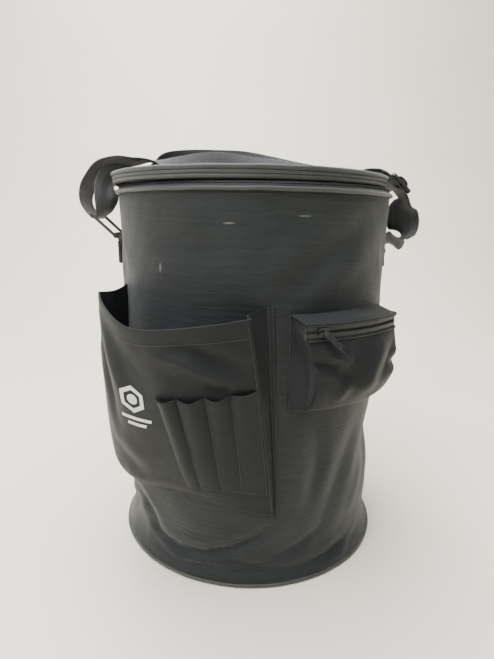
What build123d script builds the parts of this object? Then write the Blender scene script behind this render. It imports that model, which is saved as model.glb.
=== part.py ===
from build123d import *

import math
import os

os.makedirs("parts", exist_ok=True)

# Soft round tool bag with a hinged lid, in millimetres. The origin is the centre of the base's
# underside, +Z is up and the front, with the open pocket, faces -Y. Azimuths are in degrees from
# the front, positive towards +X.

# ---- driving dimensions ----
BODY_RADIUS = 151.0  # outside of the wall
WALL = 2.0  # coated fabric wall
SHELL_TOP = 397.5  # height of the wall's top edge
BASE_PANEL = 1.6  # thickness of the base fabric
BASE_BOARD = 3.0  # thickness of the stiff board on the base
BOARD_GAP = 3.0  # room round the base board and the lid board
PIPING_R = 1.9  # radius of the round piping cord
PIPING_LIFT = 0.8  # the base piping hangs clear of the ground
PIPING_PROUD = 0.6  # the rim piping stands above the wall's top edge
SEAM_GAP = 0.3  # room between pieces on different bodies
LAYER_GAP = 0.3  # room between stacked layers of one body

HOOP_R = 1.8  # radius of the stiff hoop that keeps the mouth round
HOOP_DROP = 8.0  # hoop centre below the wall's top edge
FACING = 0.7  # fabric facing that holds the hoop
FACING_DEPTH = 26.0  # height of that facing

TAPE = 1.2  # thickness of the zip tapes of the lid
COIL_R = 1.5  # radius of a half of the lid's zip coil
RIM_TAPE_HEIGHT = 2.2
LID_GAP = 3.6  # between the two halves of the open lid zip
LID_TAPE_HEIGHT = 2.8
LID_OFFSET = -5.0  # the closed lid lies this far along X
LID_PANEL = 1.4
LID_BOARD = 2.6
LID_LINING = 0.8
LID_CROWN = 0.4  # the lid's fabric stands above its piping
LID_INSET = 1.0  # the lid's band is this much inside the wall's outside
HINGE_HALF_ANGLE = 26.0  # half the width of the fabric hinge at the back

FRONT_DEPTH = 42.0  # how far the open pocket stands out at its mouth
FRONT_BOTTOM = 76.0
FRONT_TOP = 290.0
FRONT_CLOTH = 1.6
FRONT_HEM = 18.0
FRONT_LEFT = -66.0  # azimuths where the gussets meet the wall
FRONT_RIGHT = 8.5
FRONT_LEFT_EDGE = -56.0  # azimuths of the front panel's edges at the mouth
FRONT_RIGHT_EDGE = -1.0
SEAM_FLANGE = 3.0  # width in degrees of a gusset's sewn flange

PEN_BOTTOM = 106.0
PEN_TOP = 214.0
PEN_LEFT = -27.5
PEN_RIGHT = -2.0
PEN_COUNT = 4
PEN_CLOTH = 1.0
PEN_DEPTH = 10.5  # room the sleeves stand out at their mouths
PEN_SEAM = 0.6  # width in degrees of a sewn line between sleeves

SIDE_LEFT = 14.5
SIDE_RIGHT = 57.5
SIDE_CLOTH = 1.4
SIDE_TOP = 284.0
SIDE_ZIP_DEPTH = 25.0
SIDE_BULGE = 36.0
SIDE_BOTTOM = 189.0
SIDE_GUSSET = 0.5  # thickness in degrees
SIDE_TAPE = 0.8
SIDE_TAPE_HEIGHT = 5.6
SIDE_COIL_R = 0.75
SIDE_COIL_SLIT = 0.8  # between the two halves of the pocket's zip coil
SIDE_SLIDER_AZIMUTH = 20.5
SIDE_SLIDER_LENGTH = 10.0
SIDE_SLIDER_HEIGHT = 8.6
SIDE_PULL_LENGTH = 27.0
SIDE_PULL_LEAN = 40.0

MAIN_SLIDER_AZIMUTH = -150.0
MAIN_SLIDER_LENGTH = 11.0
MAIN_PULL_LENGTH = 27.0
SLIDER_PLATE = 1.3
SLIDER_ROOM = 0.5  # between a slider's plates and the coil
PULL_WIDTH = 5.6
PULL_THICKNESS = 1.6
PULL_PIN_R = 0.8
PIN_CLEARANCE = 0.06
PULL_EYE_WALL = 0.9

WEBBING = 38.0
WEBBING_THICKNESS = 1.8
RING_BAR_R = 1.75
RING_ROOM = 1.0  # on each side of the webbing
RING_LENGTH = 32.6  # between the centres of the ring's two long bars
RING_PIVOT_X = -BODY_RADIUS - 5.5
RING_PIVOT_Z = SHELL_TOP - 48.0
RING_TILT = 42.5  # degrees above the horizontal, at rest
TAB_WIDTH = WEBBING - 2.0
TAB_BOTTOM = RING_PIVOT_Z - 31.5
TAB_THICKNESS = 1.6

GLIDE_WIDTH = WEBBING + 8.0
GLIDE_LENGTH = 28.0
GLIDE_THICKNESS = 3.0
GLIDE_BAR = 4.0
GLIDE_CENTRE = (BODY_RADIUS + 12.5, 0, SHELL_TOP + 14.0)
GLIDE_DIRECTION = (-0.70, 0, 0.70)

# ---- values worked out from the driving dimensions ----
BODY_INNER = BODY_RADIUS - WALL
RIM_COIL_Z = SHELL_TOP + RIM_TAPE_HEIGHT + COIL_R
LID_COIL_Z = RIM_COIL_Z + 2 * COIL_R + LID_GAP
LID_TAPE_Z = LID_COIL_Z + COIL_R
LID_BAND_TOP = LID_TAPE_Z + LID_TAPE_HEIGHT
LID_TOP = LID_BAND_TOP + 2 * PIPING_R + LID_CROWN
TAPE_R = BODY_RADIUS - WALL / 2 + TAPE / 2
LID_R = BODY_RADIUS - LID_INSET
BIG = 400.0

WORLD_UP = Vector(0, 0, 1)
FORWARD = Vector(0, -1, 0)


# ---- shape helpers ----
def out(azimuth):
    """Unit vector pointing out of the wall at an azimuth."""
    a = math.radians(azimuth)
    return Vector(math.sin(a), -math.cos(a), 0)


def along(azimuth):
    """Unit vector along the wall, towards larger azimuths."""
    a = math.radians(azimuth)
    return Vector(math.cos(a), math.sin(a), 0)


def wall_place(azimuth, radius, height):
    """Location with x along the wall, y up and z outwards."""
    origin = out(azimuth) * radius + WORLD_UP * height
    return Plane(origin=origin, x_dir=along(azimuth), z_dir=out(azimuth)).location


def turned(face, left, right):
    """Face in the XZ plane turned about Z between two azimuths."""
    return Rot(0, 0, left - 90) * revolve(face, Axis.Z, right - left)


def section(points):
    """Closed (radius, height) outline as a face in the XZ plane."""
    corners = [(r, 0, z) for r, z in points]
    return make_face(Polyline(*corners, close=True))


def band(r_in, r_out, z_low, z_high, left=-180.0, right=180.0):
    """Wall of one thickness between two heights and two azimuths."""
    return turned(section([(r_in, z_low), (r_out, z_low), (r_out, z_high), (r_in, z_high)]), left, right)


def round_cord(radius, cord_r, height, left=-180.0, right=180.0):
    """Round cord laid along the wall between two azimuths."""
    face = Plane(origin=(radius, 0, height), z_dir=(0, -1, 0)) * Circle(cord_r)
    return turned(face, left, right)


def disc(radius, z_low, thickness):
    return Pos(0, 0, z_low) * Cylinder(radius, thickness, align=(Align.CENTER, Align.CENTER, Align.MIN))


def thick(points, thickness):
    """Outline of a strip of one thickness to the left of an open line of 2-D points."""
    count = len(points)
    moved = []
    for i in range(count):
        normals = []
        for a, b in ((i - 1, i), (i, i + 1)):
            if 0 <= a and b < count:
                dx = points[b][0] - points[a][0]
                dy = points[b][1] - points[a][1]
                size = math.hypot(dx, dy)
                normals.append((-dy / size, dx / size))
        nx = sum(n[0] for n in normals) / len(normals)
        ny = sum(n[1] for n in normals) / len(normals)
        scale = thickness / (nx * nx + ny * ny)
        moved.append((points[i][0] + nx * scale, points[i][1] + ny * scale))
    return list(points) + moved[::-1]


def plan_block(corners, z_low, z_high):
    """Upright prism on a plan outline."""
    face = make_face(Polyline(*[(x, y, z_low) for x, y in corners], close=True))
    return extrude(face, z_high - z_low, dir=(0, 0, 1))


def ribbon(stations, width, thickness):
    """Flat webbing through stations, each a centre and its turn about the route from level."""
    centres = [Vector(*centre) for centre, _ in stations]
    rings = []
    for i, (_, lean) in enumerate(stations):
        ahead = centres[min(i + 1, len(centres) - 1)]
        behind = centres[max(i - 1, 0)]
        tangent = (ahead - behind).normalized()
        level = (FORWARD - tangent * FORWARD.dot(tangent)).normalized()
        a = math.radians(lean)
        across = level * math.cos(a) + tangent.cross(level) * math.sin(a)
        side = across * (width / 2)
        rise = tangent.cross(across) * (thickness / 2)
        rings.append([centres[i] + a * side + b * rise for a, b in ((1, 1), (-1, 1), (-1, -1), (1, -1))])
    outlines = [rings[0], rings[-1]]
    for near, far in zip(rings, rings[1:]):
        # The two broad faces share the same diagonals, so the twisted strip keeps its thickness.
        for k, n in ((0, 1), (1, 2), (3, 2), (0, 3)):
            outlines += [[near[k], near[n], far[n]], [near[k], far[n], far[k]]]
    return Solid(Shell([Face(Wire.make_polygon(outline)) for outline in outlines]))


nodes = {}

# ---- wall, base and rim ----
nodes["body_shell"] = band(BODY_INNER, BODY_RADIUS, BASE_PANEL, SHELL_TOP)
nodes["base_panel"] = disc(BODY_RADIUS, 0, BASE_PANEL)
nodes["base_board"] = disc(BODY_INNER - BOARD_GAP, BASE_PANEL + LAYER_GAP, BASE_BOARD)
nodes["base_piping"] = round_cord(BODY_RADIUS + PIPING_R, PIPING_R, PIPING_R + PIPING_LIFT)

HOOP_PLACE = BODY_INNER - LAYER_GAP - HOOP_R
nodes["rim_hoop"] = round_cord(HOOP_PLACE, HOOP_R, SHELL_TOP - HOOP_DROP)
FACING_R = HOOP_PLACE - HOOP_R - LAYER_GAP
FACING_TAPER = 4.0  # height over which the facing closes in on the wall
FACING_LINE = [
    (BODY_INNER, SHELL_TOP),
    (FACING_R, SHELL_TOP),
    (FACING_R, SHELL_TOP - FACING_DEPTH + FACING_TAPER),
    (BODY_INNER, SHELL_TOP - FACING_DEPTH),
]
nodes["rim_facing"] = turned(section(thick(FACING_LINE, -FACING)), -180, 180)
nodes["rim_piping"] = round_cord(BODY_RADIUS + PIPING_R, PIPING_R, SHELL_TOP - PIPING_R + PIPING_PROUD)

ZIP_END = 180 - HINGE_HALF_ANGLE
RIM_TAPE_TOP = SHELL_TOP + RIM_TAPE_HEIGHT
nodes["rim_zip_tape"] = band(TAPE_R - TAPE, TAPE_R, SHELL_TOP, RIM_TAPE_TOP, -ZIP_END, ZIP_END)
nodes["rim_zip_coil"] = round_cord(TAPE_R - TAPE / 2, COIL_R, RIM_COIL_Z, -ZIP_END, ZIP_END)
STOP_SIZE = 3.0
STOP_PROUD = 1.0
STOP_TURN = 1.4  # degrees
stops = []
for side in (-1, 1):
    left = side * (ZIP_END + STOP_TURN) - STOP_TURN / 2
    stop_r = TAPE_R + STOP_PROUD
    stop_top = RIM_COIL_Z + COIL_R
    stops.append(band(TAPE_R - STOP_SIZE, stop_r, SHELL_TOP + STOP_PROUD, stop_top, left, left + STOP_TURN))
nodes["zip_end_stops"] = Compound(children=stops)

# ---- fabric hinge, between the wall and the lid at the back ----
HINGE_TOP = LID_TAPE_Z - SEAM_GAP
HINGE_LEFT = ZIP_END + 2.2 * STOP_TURN  # clear of the end stop
nodes["lid_hinge_tape"] = band(TAPE_R - TAPE, TAPE_R, SHELL_TOP, HINGE_TOP, HINGE_LEFT, 360 - HINGE_LEFT)

# ---- lid ----
lid_place = Pos(LID_OFFSET, 0, 0)
LID_PIPING_Z = LID_BAND_TOP + PIPING_R
LID_PANEL_Z = LID_TOP - LID_PANEL
LID_BOARD_Z = LID_PANEL_Z - LAYER_GAP - LID_BOARD
nodes["lid_panel"] = lid_place * disc(LID_R, LID_PANEL_Z, LID_PANEL)
nodes["lid_board"] = lid_place * disc(LID_R - TAPE - BOARD_GAP, LID_BOARD_Z, LID_BOARD)
nodes["lid_lining"] = lid_place * disc(LID_R - TAPE, LID_BOARD_Z - LAYER_GAP - LID_LINING, LID_LINING)
nodes["lid_piping"] = lid_place * round_cord(LID_R + PIPING_R, PIPING_R, LID_PIPING_Z)
LID_BAND = band(LID_R - TAPE, LID_R, LID_TAPE_Z, LID_PANEL_Z)
nodes["lid_zip_tape"] = lid_place * LID_BAND
nodes["lid_zip_coil"] = lid_place * round_cord(LID_R - TAPE / 2, COIL_R, LID_COIL_Z, -ZIP_END, ZIP_END)


# ---- open front pocket ----
def front_radius(height):
    """Outside of the sloping front panel at a height."""
    rise = (height - FRONT_BOTTOM) / (FRONT_TOP - FRONT_BOTTOM)
    return BODY_RADIUS + FRONT_CLOTH + (FRONT_DEPTH - FRONT_CLOTH) * rise


HEM_BOTTOM = FRONT_TOP - FRONT_HEM
HEM_EXTRA = 0.8
WEDGE = section(
    [
        (BODY_RADIUS, FRONT_BOTTOM),
        (front_radius(FRONT_BOTTOM), FRONT_BOTTOM),
        (front_radius(FRONT_TOP), FRONT_TOP),
        (BODY_RADIUS, FRONT_TOP),
    ]
)
PANEL = section(
    [
        (front_radius(FRONT_BOTTOM) - FRONT_CLOTH, FRONT_BOTTOM),
        (front_radius(FRONT_BOTTOM), FRONT_BOTTOM),
        (front_radius(HEM_BOTTOM), HEM_BOTTOM),
        (front_radius(HEM_BOTTOM) - FRONT_CLOTH, HEM_BOTTOM),
    ]
)
HEM = section(
    [
        (front_radius(HEM_BOTTOM) - FRONT_CLOTH - HEM_EXTRA, HEM_BOTTOM),
        (front_radius(HEM_BOTTOM), HEM_BOTTOM),
        (front_radius(FRONT_TOP), FRONT_TOP),
        (front_radius(FRONT_TOP) - FRONT_CLOTH - HEM_EXTRA, FRONT_TOP),
    ]
)
wedge = turned(WEDGE, FRONT_LEFT, FRONT_RIGHT)


SLAB_EXTRA = 12.0  # a gusset slab is cut longer than the gusset at both ends


def gusset_plane(azimuth_wall, azimuth_edge, inward):
    """Gusset slab on a plan line from the wall to the panel's edge, and the block outside it."""
    foot_line = out(azimuth_wall) * BODY_RADIUS
    edge = out(azimuth_edge) * front_radius(FRONT_TOP)
    direction = (edge - foot_line).normalized()
    foot = foot_line - direction * SLAB_EXTRA
    far = edge + direction * SLAB_EXTRA
    normal = Vector(-direction.Y, direction.X, 0) * inward
    slab = [foot, far, far + normal * FRONT_CLOTH, foot + normal * FRONT_CLOTH]
    outside = [
        foot + normal * FRONT_CLOTH,
        far + normal * FRONT_CLOTH,
        far - normal * BIG,
        foot - normal * BIG,
    ]
    flat = [[(p.X, p.Y) for p in outline] for outline in (slab, outside)]
    return [plan_block(outline, FRONT_BOTTOM - 1, FRONT_TOP + 1) for outline in flat]


FLANGE = 1.2
FOLD = 0.3  # degrees that the flange runs in under the gusset
left_slab, left_outside = gusset_plane(FRONT_LEFT, FRONT_LEFT_EDGE, 1)
right_slab, right_outside = gusset_plane(FRONT_RIGHT, FRONT_RIGHT_EDGE, -1)
panel_band = turned(PANEL, FRONT_LEFT - 2, FRONT_RIGHT + 2)
hem_band = turned(HEM, FRONT_LEFT - 2, FRONT_RIGHT + 2)
nodes["front_pocket_panel"] = panel_band - left_outside - right_outside
nodes["front_pocket_hem"] = hem_band - left_outside - right_outside
flange_r = BODY_RADIUS + FLANGE


def front_flange(left, right):
    """Sewn flange of a gusset on the wall."""
    return band(BODY_RADIUS, flange_r, FRONT_BOTTOM, FRONT_TOP, left, right)


left_flange = front_flange(FRONT_LEFT - SEAM_FLANGE, FRONT_LEFT + FOLD)
right_flange = front_flange(FRONT_RIGHT - FOLD, FRONT_RIGHT + SEAM_FLANGE)
nodes["front_gusset_left"] = (left_slab & turned(WEDGE, FRONT_LEFT - 2, FRONT_RIGHT)) + left_flange
nodes["front_gusset_right"] = (right_slab & turned(WEDGE, FRONT_LEFT, FRONT_RIGHT + 2)) + right_flange


# ---- pen sleeves on the front pocket ----
def pen_radius(height):
    rise = (height - PEN_BOTTOM) / (PEN_TOP - PEN_BOTTOM)
    return front_radius(height) + PEN_CLOTH + (PEN_DEPTH - PEN_CLOTH) * rise


pen_outline = [
    (front_radius(PEN_BOTTOM), PEN_BOTTOM),
    (pen_radius(PEN_BOTTOM), PEN_BOTTOM),
    (pen_radius(PEN_TOP), PEN_TOP),
    (front_radius(PEN_TOP), PEN_TOP),
]
sleeve_outline = [
    (front_radius(PEN_BOTTOM + PEN_CLOTH), PEN_BOTTOM + PEN_CLOTH),
    (pen_radius(PEN_TOP) - PEN_CLOTH, PEN_TOP),
    (front_radius(PEN_TOP), PEN_TOP),
]
pen_panel = turned(section(pen_outline), PEN_LEFT, PEN_RIGHT)
pen_pitch = (PEN_RIGHT - PEN_LEFT) / PEN_COUNT
for i in range(PEN_COUNT):
    sleeve_left = PEN_LEFT + i * pen_pitch + PEN_SEAM / 2
    sleeve_right = PEN_LEFT + (i + 1) * pen_pitch - PEN_SEAM / 2
    pen_panel -= turned(section(sleeve_outline), sleeve_left, sleeve_right)
nodes["pen_sleeves"] = pen_panel

# ---- zipped side pocket ----
R = BODY_RADIUS
ZIP_R = R + SIDE_ZIP_DEPTH
FLAP_DROP = 3.0  # fall of the flap from the wall to the zip
ZIP_TOP = SIDE_TOP - FLAP_DROP
UPPER_TAPE_LOW = ZIP_TOP - SIDE_TAPE_HEIGHT
SLIT_Z = UPPER_TAPE_LOW - 2 * SIDE_COIL_R - SIDE_COIL_SLIT / 2
LOWER_TAPE_TOP = SLIT_Z - SIDE_COIL_SLIT / 2 - 2 * SIDE_COIL_R
LOWER_TAPE_LOW = LOWER_TAPE_TOP - SIDE_TAPE_HEIGHT
side_fall = LOWER_TAPE_LOW - SIDE_BOTTOM
side_line = [
    (ZIP_R, LOWER_TAPE_LOW),
    (R + 0.945 * SIDE_BULGE, SIDE_BOTTOM + 0.77 * side_fall),
    (R + SIDE_BULGE, SIDE_BOTTOM + 0.49 * side_fall),
    (R + 0.835 * SIDE_BULGE, SIDE_BOTTOM + 0.22 * side_fall),
    (R + 0.5 * SIDE_BULGE, SIDE_BOTTOM + 0.05 * side_fall),
    (R, SIDE_BOTTOM),
]
side_outline = [(R, SIDE_TOP), (ZIP_R, ZIP_TOP)] + side_line
flap_line = [(ZIP_R, ZIP_TOP), (R, SIDE_TOP)]
inner_left = SIDE_LEFT + SIDE_GUSSET
inner_right = SIDE_RIGHT - SIDE_GUSSET
for name, line, cloth in (
    ("side_pocket_front", side_line, -SIDE_CLOTH),
    ("side_pocket_flap", flap_line, SIDE_CLOTH),
):
    nodes[name] = turned(section(thick(line, cloth)), inner_left, inner_right) - disc(R, 0, BIG)
for name, left in (("side_gusset_left", SIDE_LEFT), ("side_gusset_right", inner_right)):
    nodes[name] = turned(section(side_outline), left, left + SIDE_GUSSET)
tape_in = ZIP_R - SIDE_TAPE
side_tapes = [
    band(tape_in, ZIP_R, UPPER_TAPE_LOW, ZIP_TOP - SIDE_CLOTH, inner_left, inner_right),
    band(tape_in, ZIP_R, LOWER_TAPE_LOW, LOWER_TAPE_TOP, inner_left, inner_right),
]
nodes["side_zip_upper_tape"] = side_tapes[0]
nodes["side_zip_lower_tape"] = side_tapes[1]
COIL_END = 1.5  # degrees that each coil stops short of the gussets
coil_r = ZIP_R - SIDE_TAPE / 2
coil_ends = (inner_left + COIL_END, inner_right - COIL_END)
upper_coil_z = UPPER_TAPE_LOW - SIDE_COIL_R
lower_coil_z = LOWER_TAPE_TOP + SIDE_COIL_R
nodes["side_zip_upper_coil"] = round_cord(coil_r, SIDE_COIL_R, upper_coil_z, *coil_ends)
nodes["side_zip_lower_coil"] = round_cord(coil_r, SIDE_COIL_R, lower_coil_z, *coil_ends)


# ---- sliders and their pulls ----
def pull_tab(length, lean):
    """Pull with its eye on the local X axis, its tab hanging down and leaning to +X."""
    eye_r = PULL_PIN_R + PIN_CLEARANCE + PULL_EYE_WALL
    eye = Rot(0, 90, 0) * Cylinder(eye_r, PULL_WIDTH * 0.5)
    tab = Pos(0, -length / 2, 0) * Box(PULL_WIDTH, length, PULL_THICKNESS)
    tab = fillet(tab.edges().filter_by(Axis.Z), PULL_WIDTH * 0.3)
    tab -= Pos(0, -length * 0.8, 0) * Box(PULL_WIDTH * 0.4, length * 0.16, PULL_THICKNESS * 2)
    tab = Rot(0, 0, lean) * tab
    bar_slot = Rot(0, 90, 0) * Cylinder(PULL_PIN_R + PIN_CLEARANCE, PULL_WIDTH * 3)
    return eye + tab - bar_slot


BAIL_RISE = 2.6
BAIL_SPAN = 10.0
BAIL_POST = 1.2


def bail(span):
    """Small bow on a slider's outer plate: a bar along X on two posts."""
    bow = Rot(0, 90, 0) * Cylinder(PULL_PIN_R, span)
    for side in (-1, 1):
        post_x = side * (span - BAIL_POST) / 2
        bow += Pos(post_x, 0, -BAIL_RISE / 2) * Box(BAIL_POST, 2 * PULL_PIN_R, BAIL_RISE)
    return bow


side_inner = coil_r - SIDE_COIL_R - SLIDER_ROOM
side_outer = coil_r + SIDE_COIL_R + SLIDER_ROOM
POST = 0.5  # thickness of the post that joins a slider's plates, in the coil's slit
POST_LENGTH = 2.4
POST_SINK = 0.3  # the post runs this far into each plate
PLATE_CORNER = 2.0
plates = []
for low in (side_outer, side_inner - SLIDER_PLATE):
    place = wall_place(SIDE_SLIDER_AZIMUTH, low + SLIDER_PLATE / 2, SLIT_Z)
    plate = Box(SIDE_SLIDER_LENGTH, SIDE_SLIDER_HEIGHT, SLIDER_PLATE)
    plate = fillet(plate.edges().filter_by(Axis.Z), PLATE_CORNER)
    plates.append(place * plate)
post_place = wall_place(SIDE_SLIDER_AZIMUTH, (side_outer + side_inner) / 2, SLIT_Z)
post = post_place * Box(POST_LENGTH, POST, side_outer - side_inner + 2 * POST_SINK)
side_pivot_r = side_outer + SLIDER_PLATE + BAIL_RISE
side_bail = wall_place(SIDE_SLIDER_AZIMUTH, side_pivot_r, SLIT_Z) * bail(BAIL_SPAN)
nodes["side_zip_slider"] = plates[0] + plates[1] + post + side_bail
# The tab leans out over the bulge of the pocket below the zip.
PULL_TILT = 37.0
side_pull_place = wall_place(SIDE_SLIDER_AZIMUTH, side_pivot_r, SLIT_Z)
side_tab = pull_tab(SIDE_PULL_LENGTH, SIDE_PULL_LEAN)
nodes["side_zip_pull"] = side_pull_place * Rot(-PULL_TILT, 0, 0) * side_tab

main_mid = TAPE_R - TAPE / 2
main_low = SHELL_TOP + 1.4
main_high = LID_COIL_Z - COIL_R - 2 * SEAM_GAP
main_plate_h = main_high - main_low
main_inner = main_mid - COIL_R - SLIDER_ROOM
main_outer = main_mid + COIL_R + SLIDER_ROOM
plates = []
for low in (main_outer, main_inner - SLIDER_PLATE):
    place = wall_place(MAIN_SLIDER_AZIMUTH, low + SLIDER_PLATE / 2, (main_low + main_high) / 2)
    plates.append(place * Box(MAIN_SLIDER_LENGTH, main_plate_h, SLIDER_PLATE))
bridge_low = RIM_COIL_Z + COIL_R + SLIDER_ROOM
bridge_place = wall_place(MAIN_SLIDER_AZIMUTH, main_mid, (bridge_low + main_high) / 2)
bridge = bridge_place * Box(MAIN_SLIDER_LENGTH * 0.6, main_high - bridge_low, main_outer - main_inner + 1)
main_pivot_r = main_outer + SLIDER_PLATE + BAIL_RISE
MAIN_PIVOT_Z = main_low + 2.0
main_place = wall_place(MAIN_SLIDER_AZIMUTH, main_pivot_r, MAIN_PIVOT_Z)
nodes["main_zip_slider"] = plates[0] + plates[1] + bridge + main_place * bail(BAIL_SPAN)
nodes["main_zip_pull"] = main_place * pull_tab(MAIN_PULL_LENGTH, 0)

# ---- ring and its tab on the left side ----
pivot = Pos(RING_PIVOT_X, 0, RING_PIVOT_Z)
ring_inner = WEBBING + 2 * RING_ROOM
long_bars = []
for end in (0, 1):
    bar = Pos(-RING_LENGTH * end, 0, 0) * Rot(90, 0, 0) * Cylinder(RING_BAR_R, ring_inner + 4 * RING_BAR_R)
    long_bars.append(bar)
side_bars = []
for side in (-1, 1):
    y = side * (ring_inner / 2 + RING_BAR_R)
    side_bars.append(Pos(-RING_LENGTH / 2, y, 0) * Rot(0, 90, 0) * Cylinder(RING_BAR_R, RING_LENGTH))
ring = long_bars[0] + long_bars[1] + side_bars[0] + side_bars[1]
nodes["strap_ring"] = pivot * Rot(0, RING_TILT, 0) * ring

tab_half_turn = math.degrees(math.asin(TAB_WIDTH / 2 / BODY_RADIUS))
tab_r = BODY_RADIUS + TAB_THICKNESS
TAB_TOP = RING_PIVOT_Z - RING_BAR_R
tab_plate = band(BODY_RADIUS, tab_r, TAB_BOTTOM, TAB_TOP, -90 - tab_half_turn, -90 + tab_half_turn)
eye_r = RING_BAR_R + PIN_CLEARANCE
eye = pivot * Rot(90, 0, 0) * Cylinder(eye_r + TAB_THICKNESS, TAB_WIDTH)
neck_x = (RING_PIVOT_X - BODY_RADIUS) / 2
neck_z = RING_PIVOT_Z - eye_r - TAB_THICKNESS / 2
NECK_EXTRA = 3.0
neck = Pos(neck_x, 0, neck_z) * Box(-RING_PIVOT_X - BODY_RADIUS + NECK_EXTRA, TAB_WIDTH, TAB_THICKNESS)
neck -= disc(BODY_RADIUS, 0, BIG)
eye -= pivot * Rot(90, 0, 0) * Cylinder(eye_r, 2 * TAB_WIDTH)
neck -= pivot * Rot(90, 0, 0) * Cylinder(eye_r, 2 * TAB_WIDTH)
nodes["ring_tab"] = tab_plate + eye + neck

# ---- slide adjuster, in its own frame: x across the webbing, y along it, z outwards ----
glide_along = Vector(*GLIDE_DIRECTION).normalized()
glide_across = Vector(0, 1, 0)
glide_across = (glide_across - glide_along * glide_across.dot(glide_along)).normalized()
glide_out = glide_across.cross(glide_along)
glide_frame = Plane(origin=GLIDE_CENTRE, x_dir=glide_across, z_dir=glide_out)
frame_block = Box(GLIDE_WIDTH, GLIDE_LENGTH, GLIDE_THICKNESS)
GLIDE_CORNER = 3.0
frame_block = fillet(frame_block.edges().filter_by(Axis.Z), GLIDE_CORNER)
slot_length = (GLIDE_LENGTH - 3 * GLIDE_BAR) / 2
slot_width = WEBBING + 2 * RING_ROOM
for side in (-1, 1):
    slot_y = side * (GLIDE_BAR + slot_length) / 2
    frame_block -= Pos(0, slot_y, 0) * Box(slot_width, slot_length, GLIDE_THICKNESS * 2)
nodes["strap_adjuster"] = glide_frame.location * frame_block

half_bar = GLIDE_BAR / 2
half_glide = GLIDE_THICKNESS / 2
LOOP_GAP = 0.3
loop_side = half_bar + LOOP_GAP
loop_top = half_glide + LOOP_GAP
RUN_GAP = 0.5
run_low = -half_glide - RUN_GAP - WEBBING_THICKNESS / 2
leg_top = run_low - WEBBING_THICKNESS / 2 - LOOP_GAP
leg_low = leg_top - WEBBING_THICKNESS - LOOP_GAP
LEG_LENGTH = 11.0
loop_outer = [
    (LEG_LENGTH, leg_top),
    (loop_side + WEBBING_THICKNESS, leg_top),
    (loop_side + WEBBING_THICKNESS, loop_top + WEBBING_THICKNESS),
    (-loop_side - WEBBING_THICKNESS, loop_top + WEBBING_THICKNESS),
    (-loop_side - WEBBING_THICKNESS, leg_low - WEBBING_THICKNESS),
    (LEG_LENGTH, leg_low - WEBBING_THICKNESS),
    (LEG_LENGTH, leg_low),
    (-loop_side, leg_low),
    (-loop_side, loop_top),
    (loop_side, loop_top),
    (loop_side, leg_top - WEBBING_THICKNESS),
    (LEG_LENGTH, leg_top - WEBBING_THICKNESS),
]
loop_face = make_face(Polyline(*[(0, y, z) for y, z in loop_outer], close=True))
loop_solid = extrude(loop_face, WEBBING / 2, dir=(1, 0, 0), both=True)
nodes["strap_end_loop"] = glide_frame.location * loop_solid


# ---- shoulder strap: sewn on the right, through the adjuster, over the lid, through the ring and back ----
def at_glide(y, z):
    place = glide_frame.origin + glide_along * y + glide_out * z
    return ((place.X, place.Y, place.Z), 0)


STRAP_OFF = BODY_RADIUS + 1.0 + WEBBING_THICKNESS / 2  # the sewn end lies just off the wall
run_high = loop_top + WEBBING_THICKNESS + 2 * LOOP_GAP + WEBBING_THICKNESS / 2
anchor_part = [
    ((STRAP_OFF, 15, 318), 6),
    ((STRAP_OFF, 15, 334), 6),
    ((156.5, 14.5, 341.5), 2),
    ((162.5, 12, 346), -24),
    ((169, 8, 348), -48),
    ((174.5, 5, 351.5), -24),
    ((176.5, 3.5, 357), 25),
    ((175.5, 3, 366.5), 58),
    ((173.5, 2.5, 378), 56),
    ((172.5, 1.5, 388), 28),
]
adjuster_part = [
    at_glide(-18, run_low - 1.6),
    at_glide(-14, run_low - 0.4),
    at_glide(-9.0, run_low),
    at_glide(-5.8, run_high - 1.1),
    at_glide(-3.6, run_high),
    at_glide(3.6, run_high),
    at_glide(5.8, run_high - 1.1),
    at_glide(9.0, run_low),
    at_glide(13, run_low),
]
lid_part = [
    ((146.5, 0, 423.2), 0),
    ((140, 4, 425), 0),
    ((132, 16, 424.8), -1),
    ((122, 33, 424.2), -3),
    ((112, 46, 424.8), -8),
    ((95, 59, 426.6), -19),
    ((70, 72, 429.6), -35),
    ((43, 79, 431.8), -45),
    ((15, 80, 433), -50),
    ((-14, 79, 434.6), -60),
    ((-44, 76, 436), -70),
    ((-68, 71, 435.2), -62),
    ((-90, 62, 433.5), -44),
    ((-110, 53, 434.5), -20),
    ((-128, 45, 436.5), -2),
    ((-148, 36, 434.5), 8),
    ((-166, 24.5, 431.5), 14),
    ((-179, 16, 424.5), 15),
    ((-187.5, 9, 413), 12),
    ((-193.5, 3, 399), 7),
    ((-194, 1, 387), 3),
]
ring_far = Vector(RING_PIVOT_X, 0, RING_PIVOT_Z) + Vector(
    -RING_LENGTH * math.cos(math.radians(RING_TILT)), 0, RING_LENGTH * math.sin(math.radians(RING_TILT))
)
WRAP_R = RING_BAR_R + 2 * LOOP_GAP + WEBBING_THICKNESS / 2
ring_part = []
for turn in (212, 242, 272, 302, 332):
    a = math.radians(turn)
    ring_part.append(((ring_far.X + WRAP_R * math.cos(a), 0, ring_far.Z + WRAP_R * math.sin(a)), 0))
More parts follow.
